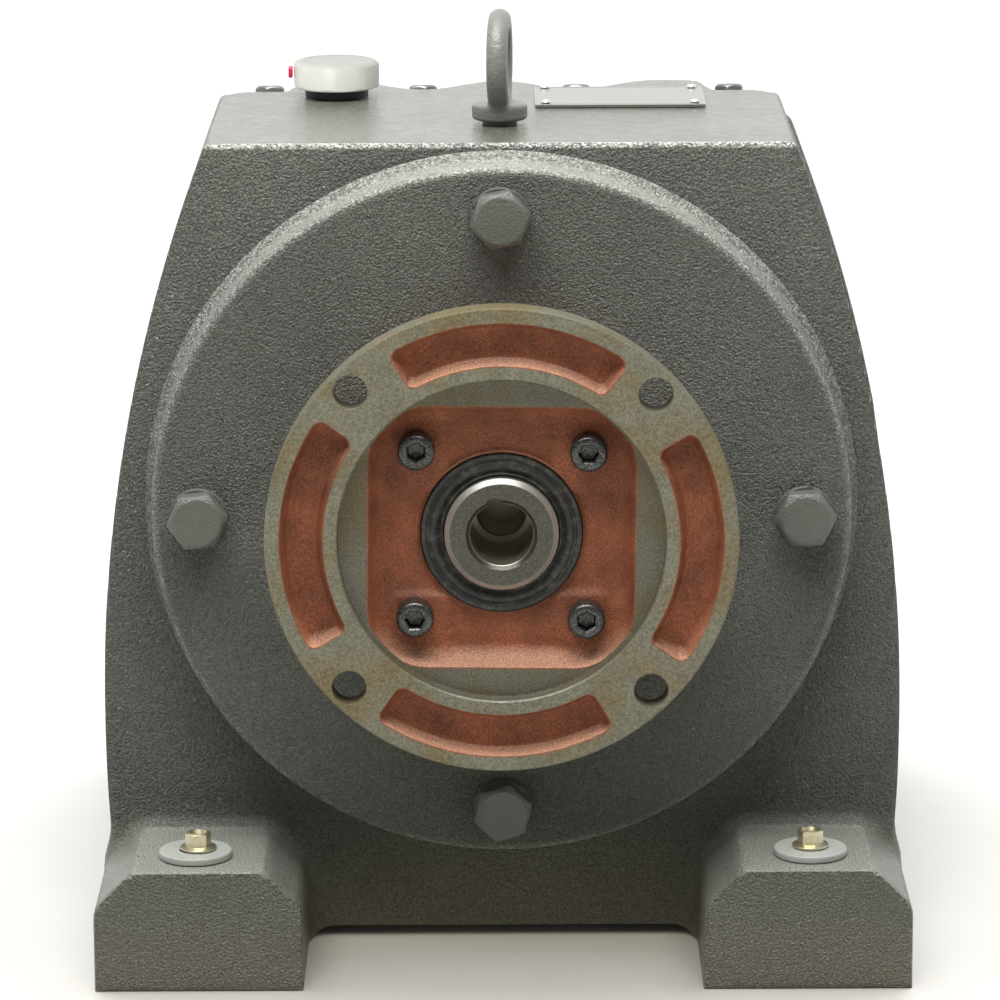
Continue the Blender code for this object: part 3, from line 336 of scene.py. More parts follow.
def make_materials():
    case_dark, case_light = (0.085, 0.091, 0.072), (0.108, 0.114, 0.092)
    return {
        "case": enamel("rough_enamel", case_dark, case_light, 0.62, 1.4, 0.3, True, 0.85, 0.75),
        "cover": enamel("cover_enamel", case_dark, case_light, 0.55, 1.4, 0.32, False, 0.85, 0.75),
        "smooth_paint": enamel("smooth_enamel", (0.085, 0.09, 0.075), (0.11, 0.116, 0.098), 0.6, 0.3, 0.32),
        "washer_paint": enamel("washer_enamel", (0.3, 0.31, 0.28), (0.38, 0.39, 0.36), 0.9, 0.05, 0.42),
        "oxide": oxide(),
        "iron": turned_iron(),
        "gear_steel": steel("gear_steel", (0.5, 0.5, 0.48), 0.32),
        "quill": quill_steel(),
        "shaft": steel("shaft_steel", (0.56, 0.55, 0.52), 0.3, True),
        "eye_paint": enamel("eye_enamel", (0.125, 0.13, 0.115), (0.16, 0.166, 0.148), 0.9, 0.2, 0.34),
        "rivet": steel("rivet_aluminium", (0.85, 0.85, 0.82), 0.3),
        "dull_steel": steel("dull_steel", (0.3, 0.31, 0.3), 0.42),
        "black_oxide": black_oxide(),
        "rubber": rubber(),
        "zinc": yellow_zinc(),
        "white": plastic("white_plastic", (0.62, 0.62, 0.56), (0.74, 0.74, 0.68), 0.42),
        "red": plastic("red_plastic", (0.5, 0.012, 0.05), (0.62, 0.02, 0.07), 0.35),
        "black": plastic("black_plastic", (0.02, 0.014, 0.024), (0.035, 0.028, 0.038), 0.5),
        "aluminium": sheet_aluminium(),
        "fibre": fibre(),
    }


LOOKS = make_materials()


# ---------------------------------------------------------------- mesh helpers

MERGE_DISTANCE = 2e-6


def new_object(name, data):
    obj = bpy.data.objects.new(name, data)
    bpy.context.scene.collection.objects.link(obj)
    return obj


def plain_object(name, bm):
    """A bmesh as an object that may be cut or bevelled before it is dressed."""
    bmesh.ops.remove_doubles(bm, verts=bm.verts, dist=MERGE_DISTANCE)
    bmesh.ops.recalc_face_normals(bm, faces=bm.faces)
    mesh = bpy.data.meshes.new(name)
    bm.to_mesh(mesh)
    bm.free()
    return new_object(name, mesh)


def dress(obj, looks, nodes, sharp=32.0, body="housing"):
    """Shades a piece, gives it its materials and lets it ride on a body in place of CAD nodes."""
    obj.data.shade_smooth()
    obj.data.set_sharp_from_angle(angle=math.radians(sharp))
    slots = obj.data.materials
    if len(slots) and slots[0] is None:
        slots.clear()
    if not len(slots):
        for look in looks.split():
            slots.append(LOOKS[look])
    weighted = obj.modifiers.new("even shading", "WEIGHTED_NORMAL")
    weighted.keep_sharp = True
    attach(obj, body)
    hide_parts(*nodes)
    return obj


def add_piece(name, bm, looks, node, sharp):
    return dress(plain_object(name, bm), looks, [node], sharp)


def soften(points, steps=3):
    """Rounds an outline's corners. A point is (a, b) or (a, b, radius), and the outline isn't closed."""
    found = [points[0][:2]]
    for before, corner, after in zip(points, points[1:], points[2:]):
        radius = corner[2] if len(corner) > 2 else 0.0
        here = Vector(corner[:2])
        if radius == 0:
            found.append(tuple(here))
            continue
        back = Vector(before[:2]) - here
        ahead = Vector(after[:2]) - here
        reach = radius / math.tan(back.angle(ahead) / 2)
        reach = min(reach, 0.49 * back.length, 0.49 * ahead.length)
        start = here + back.normalized() * reach
        end = here + ahead.normalized() * reach
        for k in range(steps + 1):
            t = k / steps
            found.append(tuple(start * (1 - t) ** 2 + here * 2 * t * (1 - t) + end * t * t))
    found.append(points[-1][:2])
    return found


def polar(radius, angle):
    return radius * math.cos(angle), radius * math.sin(angle)


def circle(radius, count, first=0.0):
    turn = 2 * math.pi / count
    return [polar(radius, first + k * turn) for k in range(count)]


def add_loop(bm, points, depth, centre, axis="Y"):
    """A ring of vertices. Its points are (x, height) offsets for axis Y and (x, depth) offsets for axis Z.
    Where it lies along the axis is one number for all of them, or a list."""
    depths = depth if isinstance(depth, list) else [depth] * len(points)
    if axis == "Y":
        return [bm.verts.new(row(centre.x + a, d, centre.z + b)) for (a, b), d in zip(points, depths)]
    return [bm.verts.new(row(centre.x + a, centre.y + b, d)) for (a, b), d in zip(points, depths)]


def bridge(bm, first, second, material=0):
    """Faces between two rings of vertices. If one of them is a single vertex, the faces fan out from it."""
    if len(first) == 1:
        first, second = second, first
    count = len(first)
    for k in range(count if count > 1 else 0):
        after = (k + 1) % count
        across = second if len(second) == 1 else (second[after], second[k])
        bm.faces.new((first[k], first[after], *across)).material_index = material


def loft(bm, rings, material=0):
    for first, second in zip(rings, rings[1:]):
        bridge(bm, first, second, material)


def capped_loft(bm, rings):
    loft(bm, rings)
    bm.faces.new(rings[0])
    bm.faces.new(rings[-1])


def fill(bm, outer, *inner, material=0):
    """Fills the flat region between loops of vertices."""
    edges = []
    for loop in (outer, *inner):
        for a, b in zip(loop, loop[1:] + loop[:1]):
            edges.append(bm.edges.get((a, b)) or bm.edges.new((a, b)))
    made = bmesh.ops.triangle_fill(bm, edges=edges, use_beauty=True)
    for item in made["geom"]:
        if isinstance(item, bmesh.types.BMFace):
            item.material_index = material


def lathe(bm, outline, centre, segments, axis="Y", closed=True):
    """Turns a (radius, depth) outline about an axis through centre. Radius 0 closes it on the axis."""
    rings = []
    for radius, depth in outline:
        rings.append(add_loop(bm, circle(radius, segments) if radius else [(0, 0)], depth, centre, axis))
    if closed and len(rings[0]) > 1 and len(rings[-1]) > 1:
        rings.append(rings[0])
    loft(bm, rings)


def turned(outline, centre, segments, axis="Y", closed=True):
    """A new bmesh with an outline turned in it."""
    bm = bmesh.new()
    lathe(bm, outline, centre, segments, axis, closed)
    return bm


def shank(bm, centre, tip, end, radius, chamfer=(0.6, 0.7), segments=32, axis="Y"):
    """A screw's plain shank, from its chamfered tip to an end inside the head."""
    way = 1 if end > tip else -1
    rim = [(radius - chamfer[0], tip), (radius, tip + way * chamfer[1]), (radius, end)]
    lathe(bm, [(0, tip)] + rim + [(0, end)], centre, segments, axis, closed=False)


def arc_points(x, y, radius, first, last, steps):
    """Points on an arc, both ends included. Angles in degrees."""
    found = []
    for k in range(steps + 1):
        a, b = polar(radius, math.radians(first + (last - first) * k / steps))
        found.append((x + a, y + b))
    return found


def rounded_box(x0, y0, x1, y1, radius, steps=6):
    left, right, bottom, top = x0 + radius, x1 - radius, y0 + radius, y1 - radius
    places = ((right, top), (left, top), (left, bottom), (right, bottom))
    found = []
    for quarter, (x, y) in enumerate(places):
        found += arc_points(x, y, radius, quarter * 90, quarter * 90 + 90, steps)
    return found


def prism(outline, start, end, axis="Y"):
    """A straight solid with an (x, height) outline for axis Y or an (x, depth) outline for axis Z."""
    bm = bmesh.new()
    capped_loft(bm, [add_loop(bm, outline, depth, ORIGIN, axis) for depth in (start, end)])
    return bm


def turned_points(points, angle):
    c, s = math.cos(angle), math.sin(angle)
    return [(a * c - b * s, a * s + b * c) for a, b in points]


def on_circle(points, radius):
    """Moves points straight out from the middle, or in, to a circle."""
    return [(a / math.hypot(a, b) * radius, b / math.hypot(a, b) * radius) for a, b in points]


def bevel(obj, width, segments=2, limit=30):
    modifier = obj.modifiers.new("edges", "BEVEL")
    modifier.width = width * MM
    modifier.segments = segments
    modifier.limit_method = "ANGLE"
    modifier.angle_limit = math.radians(limit)
    modifier.use_clamp_overlap = True
    settle(obj)


# ---------------------------------------------------------------- castings from distance functions

def fillet(a, b, radius):
    """The union of two solids, given as distances, with a fillet where they meet."""
    corner = np.hypot(np.maximum(radius - a, 0), np.maximum(radius - b, 0))
    return np.maximum(radius, np.minimum(a, b)) - corner


def trim(a, b, radius):
    """What two solids share, with a round edge."""
    corner = np.hypot(np.maximum(radius + a, 0), np.maximum(radius + b, 0))
    return np.minimum(-radius, np.maximum(a, b)) + corner


def slope(distance, points):
    """The gradient of a distance function at points."""
    step = 0.05
    parts = []
    for axis in range(3):
        ahead = points.copy()
        behind = points.copy()
        ahead[:, axis] += step
        behind[:, axis] -= step
        parts.append((distance(*ahead.T) - distance(*behind.T)) / (2 * step))
    return np.stack(parts, axis=1)


def skin(distance, low, high, cell):
    """Points and quads of the surface where a distance function is zero, one point to a crossed cell."""
    axes = [np.arange(a, b + cell, cell) for a, b in zip(low, high)]
    inside = distance(*np.meshgrid(*axes, indexing="ij", sparse=True)) < 0
    shape = [n - 1 for n in inside.shape]
    count = np.zeros(shape, np.int8)
    for corner in itertools.product((0, 1), repeat=3):
        count += inside[tuple(slice(c, c + n) for c, n in zip(corner, shape))]
    crossed = (count > 0) & (count < 8)
    index = np.full(shape, -1)
    index[crossed] = np.arange(crossed.sum())
    middle_of = [axis[:-1] + cell / 2 for axis in axes]
    centres = np.stack([middle_of[k][places] for k, places in enumerate(np.nonzero(crossed))], axis=1)
    points = centres.copy()
    for _ in range(4):
        gradient = slope(distance, points)
        length = np.maximum((gradient**2).sum(1), 1e-6)
        points -= gradient * (distance(*points.T) / length)[:, None]
        points = np.clip(points, centres - cell * 0.6, centres + cell * 0.6)
    quads = []
    for axis in range(3):
        u, v = [k for k in range(3) if k != axis]
        count_here = inside.shape[axis]
        first = np.take(inside, range(count_here - 1), axis)
        second = np.take(inside, range(1, count_here), axis)
        edges = np.argwhere(first != second)
        leaving = first[tuple(edges.T)] == (axis != 1)
        around = []
        for du, dv in ((1, 1), (0, 1), (0, 0), (1, 0)):
            cells = edges.copy()
            cells[:, u] -= du
            cells[:, v] -= dv
            around.append(index[tuple(cells.T)])
        found = np.stack(around, axis=1)
        quads.append(np.where(leaving[:, None], found, found[:, ::-1]))
    return points, np.concatenate(quads)


def settle(obj):
    """Applies an object's modifiers to its mesh."""
    graph = bpy.context.evaluated_depsgraph_get()
    made = bpy.data.meshes.new_from_object(obj.evaluated_get(graph), depsgraph=graph)
    obj.modifiers.clear()
    obj.data = made


def cast_object(name, distance, low, high, cell, keep):
    """A closed mesh of a distance function. keep is the share of its triangles that stays."""
    points, quads = skin(distance, low, high, cell)
    mesh = bpy.data.meshes.new(name)
    mesh.from_pydata(points * MM + np.array(row(0, 0, 0)), [], quads)
    obj = new_object(name, mesh)
    obj.modifiers.new("fewer faces", "DECIMATE").ratio = keep
    settle(obj)
    return obj


# ---------------------------------------------------------------- case

SIDE_ARC_RADIUS = 575.0
SIDE_ARC_CENTRE = 144.0 - SIDE_ARC_RADIUS
WIDEST_HEIGHT = 84.0
BELLY_HEIGHT = 5.0
PLATFORM_HEIGHT = 282.0
PLATFORM_FALL = math.radians(10.5)
PLATFORM_PIVOT = 200.0
FOOT_FRONT, FOOT_REAR = 2.0, 342.0
FOOT_INNER, FOOT_OUTER, FOOT_HEIGHT = 71.0, 145.0, 44.0
FOOT_CHAMFER = 13.5
HATCH = (-76.0, 215.0, 76.0, 273.0)
FOOT_HOLES = [(side * 109.5, depth) for side in (-1, 1) for depth in (22.0, 322.0)]
REAR_PART_START = 186.0
REAR_PART_TOP = 291.0
REAR_PART_SHIFT, REAR_PART_TOP_SHIFT = 5.2, 0.6
REAR_TAPER_START = 174.0
SCREW_PITCH = 29.0


def side_distance(x, z, shift=0.0):
    return np.hypot(x - SIDE_ARC_CENTRE - shift, z - WIDEST_HEIGHT) - SIDE_ARC_RADIUS


def step_distance(x, depth):
    """How far a point lies behind the deck's rear edge, which bends forward round the inspection screws."""
    across = np.abs(x)
    wave = 202 + 10 * np.cos(np.pi * across / SCREW_PITCH)
    edge = np.where(across < 58, wave, 212.0)
    edge = edge - 25 / (1 + np.exp(-(across - 77.5) * 0.9)) - 8 / (1 + np.exp(-(across - 100) * 0.7))
    slant = 1 + 0.9 * np.exp(-(((across % (2 * SCREW_PITCH)) - SCREW_PITCH) ** 2) / 300)
    return (depth - edge) / slant


def foot_distance(x, depth, z):
    across = np.abs(x)
    half_turn = math.sqrt(0.5)
    section = trim(across - FOOT_OUTER, FOOT_INNER - across, 1.5)
    section = trim(section, z - FOOT_HEIGHT, 1.5)
    section = np.maximum(section, -z)
    outer_cut = (across - FOOT_OUTER + z - FOOT_HEIGHT + FOOT_CHAMFER) * half_turn
    inner_cut = (FOOT_INNER - across + z - FOOT_HEIGHT + FOOT_CHAMFER) * half_turn
    section = trim(section, np.maximum(outer_cut, inner_cut), 2.5)
    return trim(section, np.maximum(FOOT_FRONT - depth, depth - FOOT_REAR), 1.6)


def above_platform(depth, z):
    """Height over the platform, which falls towards the rear about a line at the deck's height."""
    along = (depth - PLATFORM_PIVOT) * math.sin(PLATFORM_FALL)
    return along + (z - DECK_HEIGHT) * math.cos(PLATFORM_FALL) + DECK_HEIGHT - PLATFORM_HEIGHT


def room_distance(x, depth, z):
    """The two rooms inside, with the web between them."""
    ceiling = np.maximum(z - PLATFORM_HEIGHT + 8, above_platform(depth, z) + 8)
    wall = np.maximum(side_distance(np.abs(x), z) + 9, np.maximum(BELLY_HEIGHT + 9 - z, ceiling))
    front = np.maximum(CASE_FRONT + 14 - depth, depth - 128)
    rear = np.maximum(144 - depth, depth - 280)
    return trim(wall, np.minimum(front, rear), 5)


def case_distance(x, depth, z):
    across = np.abs(x)
    section = trim(side_distance(across, z), z - DECK_HEIGHT, 1.4)
    section = trim(section, BELLY_HEIGHT - z, 4)
    ends = np.maximum(CASE_FRONT - depth, depth - CASE_REAR)
    body = trim(section, ends, 1.4)
    taper = np.maximum(0.0, (z - REAR_TAPER_START) / (REAR_PART_TOP - REAR_TAPER_START))
    shift = REAR_PART_SHIFT + (REAR_PART_TOP_SHIFT - REAR_PART_SHIFT) * taper
    rear_section = np.maximum(side_distance(x, z, shift), np.maximum(x - FOOT_OUTER, -x))
    rear_section = trim(rear_section, np.maximum(z - REAR_PART_TOP, 58 - z), 1.5)
    rear_part = trim(rear_section, np.maximum(REAR_PART_START - depth, depth - CASE_REAR), 1.5)
    body = np.maximum(fillet(body, rear_part, 2), depth - CASE_REAR)
    behind_deck = trim(-above_platform(depth, z), -step_distance(x, depth), 2)
    body = trim(body, -behind_deck, 2)
    body = fillet(body, foot_distance(x, depth, z), 9)
    body = np.maximum(body, np.maximum(across - FOOT_OUTER, -z))
    return np.maximum(body, -room_distance(x, depth, z))


def combine(obj, bm, operation):
    """Cuts a bmesh out of an object, or joins the two."""
    tool = plain_object("tool", bm)
    modifier = obj.modifiers.new("tool", "BOOLEAN")
    modifier.operation = operation
    modifier.object = tool
    modifier.solver = "MANIFOLD"
    settle(obj)
    bpy.data.objects.remove(tool)


def drill(obj, holes):
    """Cuts round holes: each is (centre, radius, start, end), and an axis if that isn't Y."""
    bm = bmesh.new()
    for centre, radius, start, end, *axis in holes:
        lathe(bm, [(0, start), (radius, start), (radius, end), (0, end)], centre, 48, *axis)
    combine(obj, bm, "DIFFERENCE")


def lean_back(bm):
    """Leans what is drawn level back onto the falling platform."""
    pivot = row(0, PLATFORM_PIVOT, DECK_HEIGHT)
    turn = Matrix.Rotation(-PLATFORM_FALL, 3, "X")
    bmesh.ops.rotate(bm, verts=bm.verts, cent=pivot, matrix=turn)


def make_case():
    low = (-FOOT_OUTER - 3, FOOT_FRONT - 3, -3)
    high = (FOOT_OUTER + 3, FOOT_REAR + 3, DECK_HEIGHT + 3)
    case = cast_object("gear_case_cast", case_distance, low, high, 2.0, 0.14)
    holes = [
        (MAIN, 97.3, CASE_FRONT - 5, CASE_FRONT + 18), (MAIN, 40.4, 124, 148), (LAY, 26.4, 124, 148),
        (MAIN, 45.4, 276, CASE_REAR + 5), (LAY, 26.4, 276, CASE_REAR - 5)
    ]
    for x, depth in FOOT_HOLES:
        holes.append((Vector((x, depth, 0)), 7, -5, FOOT_HEIGHT + 5, "Z"))
    drill(case, holes)
    bm = prism(rounded_box(*HATCH, 10), PLATFORM_HEIGHT - 25, DECK_HEIGHT, "Z")
    lean_back(bm)
    combine(case, bm, "DIFFERENCE")
    dress(case, "case", ["gear_case"])


# ---------------------------------------------------------------- input side

COVER_RADIUS = 125.0
COVER_HOLES = [middle(f"cover_bolt_{k}") for k in range(1, 5)]
SCREW_PLACES = [middle(f"flange_screw_{k}") for k in range(1, 5)]
PILOT_DEPTH = 6.0
POCKET_HALF, POCKET_CORNER_INSET = 46.2, 25.5
POCKET_WALL_TOP, POCKET_WALL_REACH, POCKET_WALL_STEPS = 6.8, 6.5, 9
POCKET_FLOOR, POCKET_FLOOR_STEPS = 15.0, 20
SEAL_BOSS_RADIUS = 29.3
FLANGE_HOLE_CIRCLE = 74.6
FLANGE_TURN = math.radians(-0.8)
ARC_POCKET_TURN = math.radians(-2.3)


def make_cover():
    """The big round cover: a painted disc whose rim runs out into the case with a fillet."""
    rear = CASE_FRONT - 0.3
    outline = [
        (23, 54), (23, COVER_FACE, 1), (COVER_RADIUS - 0.6, COVER_FACE, 3.6),
        (COVER_RADIUS - 0.4, CASE_FRONT - 4, 4.5), (COVER_RADIUS + 3, CASE_FRONT + 0.5),
        (COVER_RADIUS - 3, CASE_FRONT + 0.5), (COVER_RADIUS - 4, rear), (97, rear), (97, 74, 1),
        (40.4, 74, 0.5), (40.4, 54)
    ]
    disc = turned(soften(outline, 6), MAIN, 160)
    cover = add_piece("input_cover_painted", disc, "cover", "input_cover", 40)
    holes = [(place, 6.3, COVER_FACE - 5, CASE_FRONT + 3) for place in COVER_HOLES]
    holes += [(place, 4.3, COVER_FACE - 5, COVER_FACE + 11.5) for place in SCREW_PLACES]
    drill(cover, holes)


def rounded_square(half, corner, turn):
    """The outline of a rounded square, with 24 points to each quarter."""
    quarter = []
    for k in range(24):
        along = k / 24
        if along < 0.25:
            a, b = half, (half - corner) * along / 0.25
        elif along < 0.75:
            a, b = polar(corner, (along - 0.25) / 0.5 * math.pi / 2)
            a, b = half - corner + a, half - corner + b
        else:
            a, b = (half - corner) * (1 - along) / 0.25, half
        quarter.append((a, b))
    return [point for k in range(4) for point in turned_points(quarter, k * math.pi / 2 + turn)]


def pocket_square(half):
    return rounded_square(half, max(half - POCKET_CORNER_INSET, 4), FLANGE_TURN)


def arc_outline(middle_angle, inner, outer, half_angle, corner):
    """The outline of an arc-shaped pocket with round corners."""
    reach = (inner + outer) / 2
    spread = half_angle - corner / reach
    sides = []
    for radius, other, way in ((outer, inner, 1), (inner, outer, -1)):
        sides += [polar(radius, middle_angle + way * spread * (2 * k / 16 - 1)) for k in range(17)]
        inward = way * corner
        for edge, inset, steps in ((radius, inward, range(1, 5)), (other, -inward, range(4, 0, -1))):
            for k in steps:
                a, b = polar(1.0, k / 5 * math.pi / 2)
                angle = middle_angle + way * (spread + corner * b / reach)
                sides.append(polar(edge - inset + inset * a, angle))
    return sides


def pocket_floor(x, z):
    """Depth of the rough floor between the pilot recess and the seal: corner bosses round the four screws."""
    boss = 1 / (1 + np.exp(-(min(abs(x), abs(z + 4)) - 17.8) * 2.2))
    return POCKET_FLOOR + 1.9 * (1 - boss)


def pocket_levels():
    """The primed pocket behind the pilot recess, as (points, depth): its lip, round wall and floor."""
    levels = [(rounded_square(46.9, 21.4, FLANGE_TURN), PILOT_DEPTH)]
    levels += [(pocket_square(46.5), 6.2), (pocket_square(POCKET_HALF), POCKET_WALL_TOP)]
    for k in range(1, POCKET_WALL_STEPS + 1):
        share = k / POCKET_WALL_STEPS
        outline = pocket_square(POCKET_HALF - POCKET_WALL_REACH * share)
        drop = math.sqrt(1 - (1 - share) ** 2)
        depths = [POCKET_WALL_TOP + (pocket_floor(*p) - POCKET_WALL_TOP) * drop for p in outline]
        levels.append((outline, depths))
    foot = levels[-1][0]
    inner = circle(SEAL_BOSS_RADIUS, 96, FLANGE_TURN)
    for k in range(1, POCKET_FLOOR_STEPS + 1):
        share = k / POCKET_FLOOR_STEPS
        points = [(x0 + (x1 - x0) * share, z0 + (z1 - z0) * share) for (x0, z0), (x1, z1) in zip(foot, inner)]
        levels.append((points, [pocket_floor(*p) for p in points]))
    return levels


def make_flange():
    """The C-face flange: machined face and holes, with rough primed pockets and back."""
    iron, red = 0, 1
    bm = bmesh.new()

    def ring(points, depth):
        return add_loop(bm, points, depth, MAIN)

    outer = [(81.75, 0), (82.3, 0.25), (82.55, 0.8), (82.55, 10.2), (82.2, 10.6)]
    outer = [ring(circle(radius, 192), depth) for radius, depth in outer]
    loft(bm, outer, iron)
    pilot = [(58.0, 0), (57.6, 0.2), (57.15, 0.75), (57.15, 5.0), (56.9, 5.7), (56.2, PILOT_DEPTH)]
    pilot = [ring(circle(radius, 96), depth) for radius, depth in pilot]
    loft(bm, pilot, iron)
    pocket = [ring(*level) for level in pocket_levels()]
    fill(bm, pilot[-1], pocket[0], material=iron)
    loft(bm, pocket, red)
    # From the pocket's floor through the seal's seat and round the neck, out to the flat back
    inside = [
        (28.9, 14.8), (28.6, 15.1), (28.6, 22.8), (23, 22.8), (23, 24), (34.4, 24), (34.4, 40.7),
        (62.4, 40.7), (63, 40.1), (63, 18), (63.4, 14.5), (64.5, 12), (66.2, 10.9), (67.4, 10.6)
    ]
    inside = [ring(circle(radius, 96, FLANGE_TURN), depth) for radius, depth in inside]
    for number, (first, second) in enumerate(zip(pocket[-1:] + inside, inside)):
        bridge(bm, first, second, iron if 2 <= number <= 6 else red)

    openings = [pilot[0]]
    for k in range(4):
        angle = k * math.pi / 2 + ARC_POCKET_TURN
        loops = []
        for grow, depth in ((0.5, 0), (0.1, 0.25), (-0.1, 0.9), (-0.9, 4.2), (-2.0, 5.9), (-3.6, 6.5)):
            half = math.radians(32.5) + grow / 70
            loops.append(ring(arc_outline(angle, 62.5 - grow, 77 + grow, half, 3.6 + grow * 0.6), depth))
        openings.append(loops[0])
        loft(bm, loops, red)
        fill(bm, loops[-1], material=red)
    backs = []
    for k in range(4):
        x, z = polar(FLANGE_HOLE_CIRCLE, (k + 0.5) * math.pi / 2 + FLANGE_TURN)
        loops = []
        for radius, depth in ((6.4, 0), (6.1, 0.15), (5.95, 0.5), (5.95, 10.3), (6.2, 10.6)):
            loops.append(ring([(x + a, z + b) for a, b in circle(radius, 40)], depth))
        openings.append(loops[0])
        loft(bm, loops, iron)
        backs.append(loops[-1])
    fill(bm, outer[0], *openings, material=iron)
    fill(bm, outer[-1], inside[-1], *backs, material=red)
    add_piece("motor_flange_machined", bm, "iron oxide", "motor_flange", 35)


def hexagon(flats, count, turn):
    """A hexagon's outline with count points to each side, a corner at angle turn."""
    tips = circle(flats / math.sqrt(3), 6)
    points = []
    for (a, b), (c, d) in zip(tips, tips[1:] + tips[:1]):
        for k in range(count):
            share = k / count
            points.append((a + (c - a) * share, b + (d - b) * share))
    return turned_points(points, turn)


def hex_head(flats, face, seat, centre, spin, axis="Y", round_by=0.5):
    """A hex head between its face and its seat, chamfered by a cone so that its corners dip in arcs."""
    bm = bmesh.new()
    way = 1 if seat > face else -1
    rim = flats / 2 * 0.92
    outline = hexagon(flats - 0.02, 8, spin)
    inner = hexagon(flats - 2 * round_by * 0.35, 8, spin)
    drops = [max(0.0, (math.hypot(a, b) - rim) * 0.7) for a, b in outline]
    levels = [
        ([(0, 0)], face), (on_circle(outline, rim - 0.9), face),
        (on_circle(outline, rim - 0.15), face + way * 0.12),
        (inner, [face + way * (drop + 0.22) for drop in drops]),
        (outline, [face + way * (drop + 0.75) for drop in drops]),
        (outline, seat - way * 0.5), (inner, seat), ([(0, 0)], seat)
    ]
    loft(bm, [add_loop(bm, points, depth, centre, axis) for points, depth in levels])
    return bm


def socket_screw(face, centre, spin):
    """An M8 socket head cap screw: rounded head with a hex socket, and a plain shank."""
    bm = bmesh.new()
    length, radius, flats, depth, shaft = 8, 6.5, 6, 4.5, 3.9
    count = 48
    socket = hexagon(flats, count // 6, spin)
    levels = [
        ([(0, 0)], depth + 1.0), ([(a * 0.86, b * 0.86) for a, b in socket], depth + 0.25),
        (socket, depth - 0.5), (socket, 0.5), (hexagon(flats + 0.9, count // 6, spin), 0.05)
    ]
    profile = [
        (radius - 2.0, 0.0), (radius - 1.1, 0.1), (radius - 0.35, 0.6), (radius, 1.3), (radius, length - 0.3),
        (radius - 0.3, length), (shaft, length), (shaft, length + 12), (shaft - 0.8, length + 13)
    ]
    first_angle = math.atan2(socket[0][1], socket[0][0])
    levels += [(circle(r, count, first_angle), along) for r, along in profile] + [([(0, 0)], length + 13)]
    loft(bm, [add_loop(bm, points, face + along, centre) for points, along in levels])
    return bm


def split_washer(inner, outer, near, far, centre, spin):
    """A spring lock washer: a square-section ring cut through and sprung a little."""
    bm = bmesh.new()
    gap = 0.09
    steps = 44
    section = [
        (inner + 0.25, 0), (outer - 0.35, 0), (outer, 0.3), (outer, 0.7), (outer - 0.35, 1),
        (inner + 0.25, 1), (inner, 0.8), (inner, 0.2)
    ]
    rings = []
    for k in range(steps + 1):
        share = k / steps
        angle = spin + gap + share * (2 * math.pi - 2 * gap)
        rise = 0.5 * (share - 0.5)
        depths = [min(max(near + (far - near) * level + rise, near), far) for _, level in section]
        rings.append(add_loop(bm, [polar(radius, angle) for radius, _ in section], depths, centre))
    capped_loft(bm, rings)
    return bm


def make_cover_bolts():
    for k, spin in enumerate((0.05, 0.21, 0.12, 0.3), 1):
        low, high = corners(f"cover_bolt_{k}")
        centre = middle(f"cover_bolt_{k}")
        bm = hex_head(19, low.y, low.y + 7.5, centre, spin)
        shank(bm, centre, high.y, low.y + 7.4, 5.9, (0.7, 1), 40)
        add_piece(f"cover_bolt_painted_{k}", bm, "smooth_paint", f"cover_bolt_{k}", 50)
        low, high = corners(f"cover_lock_washer_{k}")
        bm = split_washer(6.5, 10.55, low.y, high.y, centre, k * 1.4)
        add_piece(f"cover_lock_washer_painted_{k}", bm, "smooth_paint", f"cover_lock_washer_{k}", 50)


def make_flange_screws():
    for k, spin in enumerate((0.0, 0.52, 0.0, 0.52), 1):
        bm = socket_screw(corners(f"flange_screw_{k}")[0].y, middle(f"flange_screw_{k}"), spin)
        add_piece(f"flange_screw_black_{k}", bm, "black_oxide", f"flange_screw_{k}", 40)


def make_seal():
    low, high = corners("input_seal")
    front = [
        (28.3, 0.5), (28.0, 0), (26.6, 0), (26.2, 0.7), (25.4, 0.9), (24.9, 0.35), (23.8, 0.2), (22.9, 0.5),
        (22.4, 1.4), (21.7, 1.7), (21.2, 0.9), (20.7, 0.75), (20.3, 1.3)
    ]
    outline = [(radius, low.y + depth) for radius, depth in front]
    outline += [(20.3, high.y - 1.5), (21.5, high.y), (28.0, high.y), (28.3, high.y - 0.4)]
    add_piece("input_seal_moulded", turned(outline, MAIN, 128), "rubber", "input_seal", 50)


# ---------------------------------------------------------------- gears, shafts and bearings

MODULE = 2.5
PRESSURE_ANGLE = math.radians(20)
HELIX = math.tan(math.radians(15))
FIRST_MESH, SECOND_MESH = 98.0, 192.0
TOOTH_CHAMFER = 0.6


def involute(angle):
    return math.tan(angle) - angle


def tooth_outline(teeth, first_tooth, shrink):
    """A gear's outline as (angle, radius) points, with root fillets and a slight round at the tips."""
    pitch = MODULE * teeth / 2
    base = pitch * math.cos(PRESSURE_ANGLE)
    tip = pitch + 0.85 * MODULE - shrink
    root = pitch - 1.2 * MODULE
    half_pitch = math.pi / (2 * teeth) * 0.93 + involute(PRESSURE_ANGLE)
    start = max(base, root + 0.5)
    flank = [(half_pitch + 0.16 * math.pi / teeth, root), (half_pitch + 0.03 * math.pi / teeth, root + 0.25)]
    for k in range(5):
        radius = start + (tip - start) * k / 4
        flank.append((half_pitch - involute(math.acos(min(1.0, base / radius))), radius))
    outline = []
    for k in range(teeth):
        centre = first_tooth + 2 * math.pi * k / teeth
        outline += [(centre - half, radius) for half, radius in flank]
        outline += [(centre + half, radius) for half, radius in reversed(flank)]
    return outline


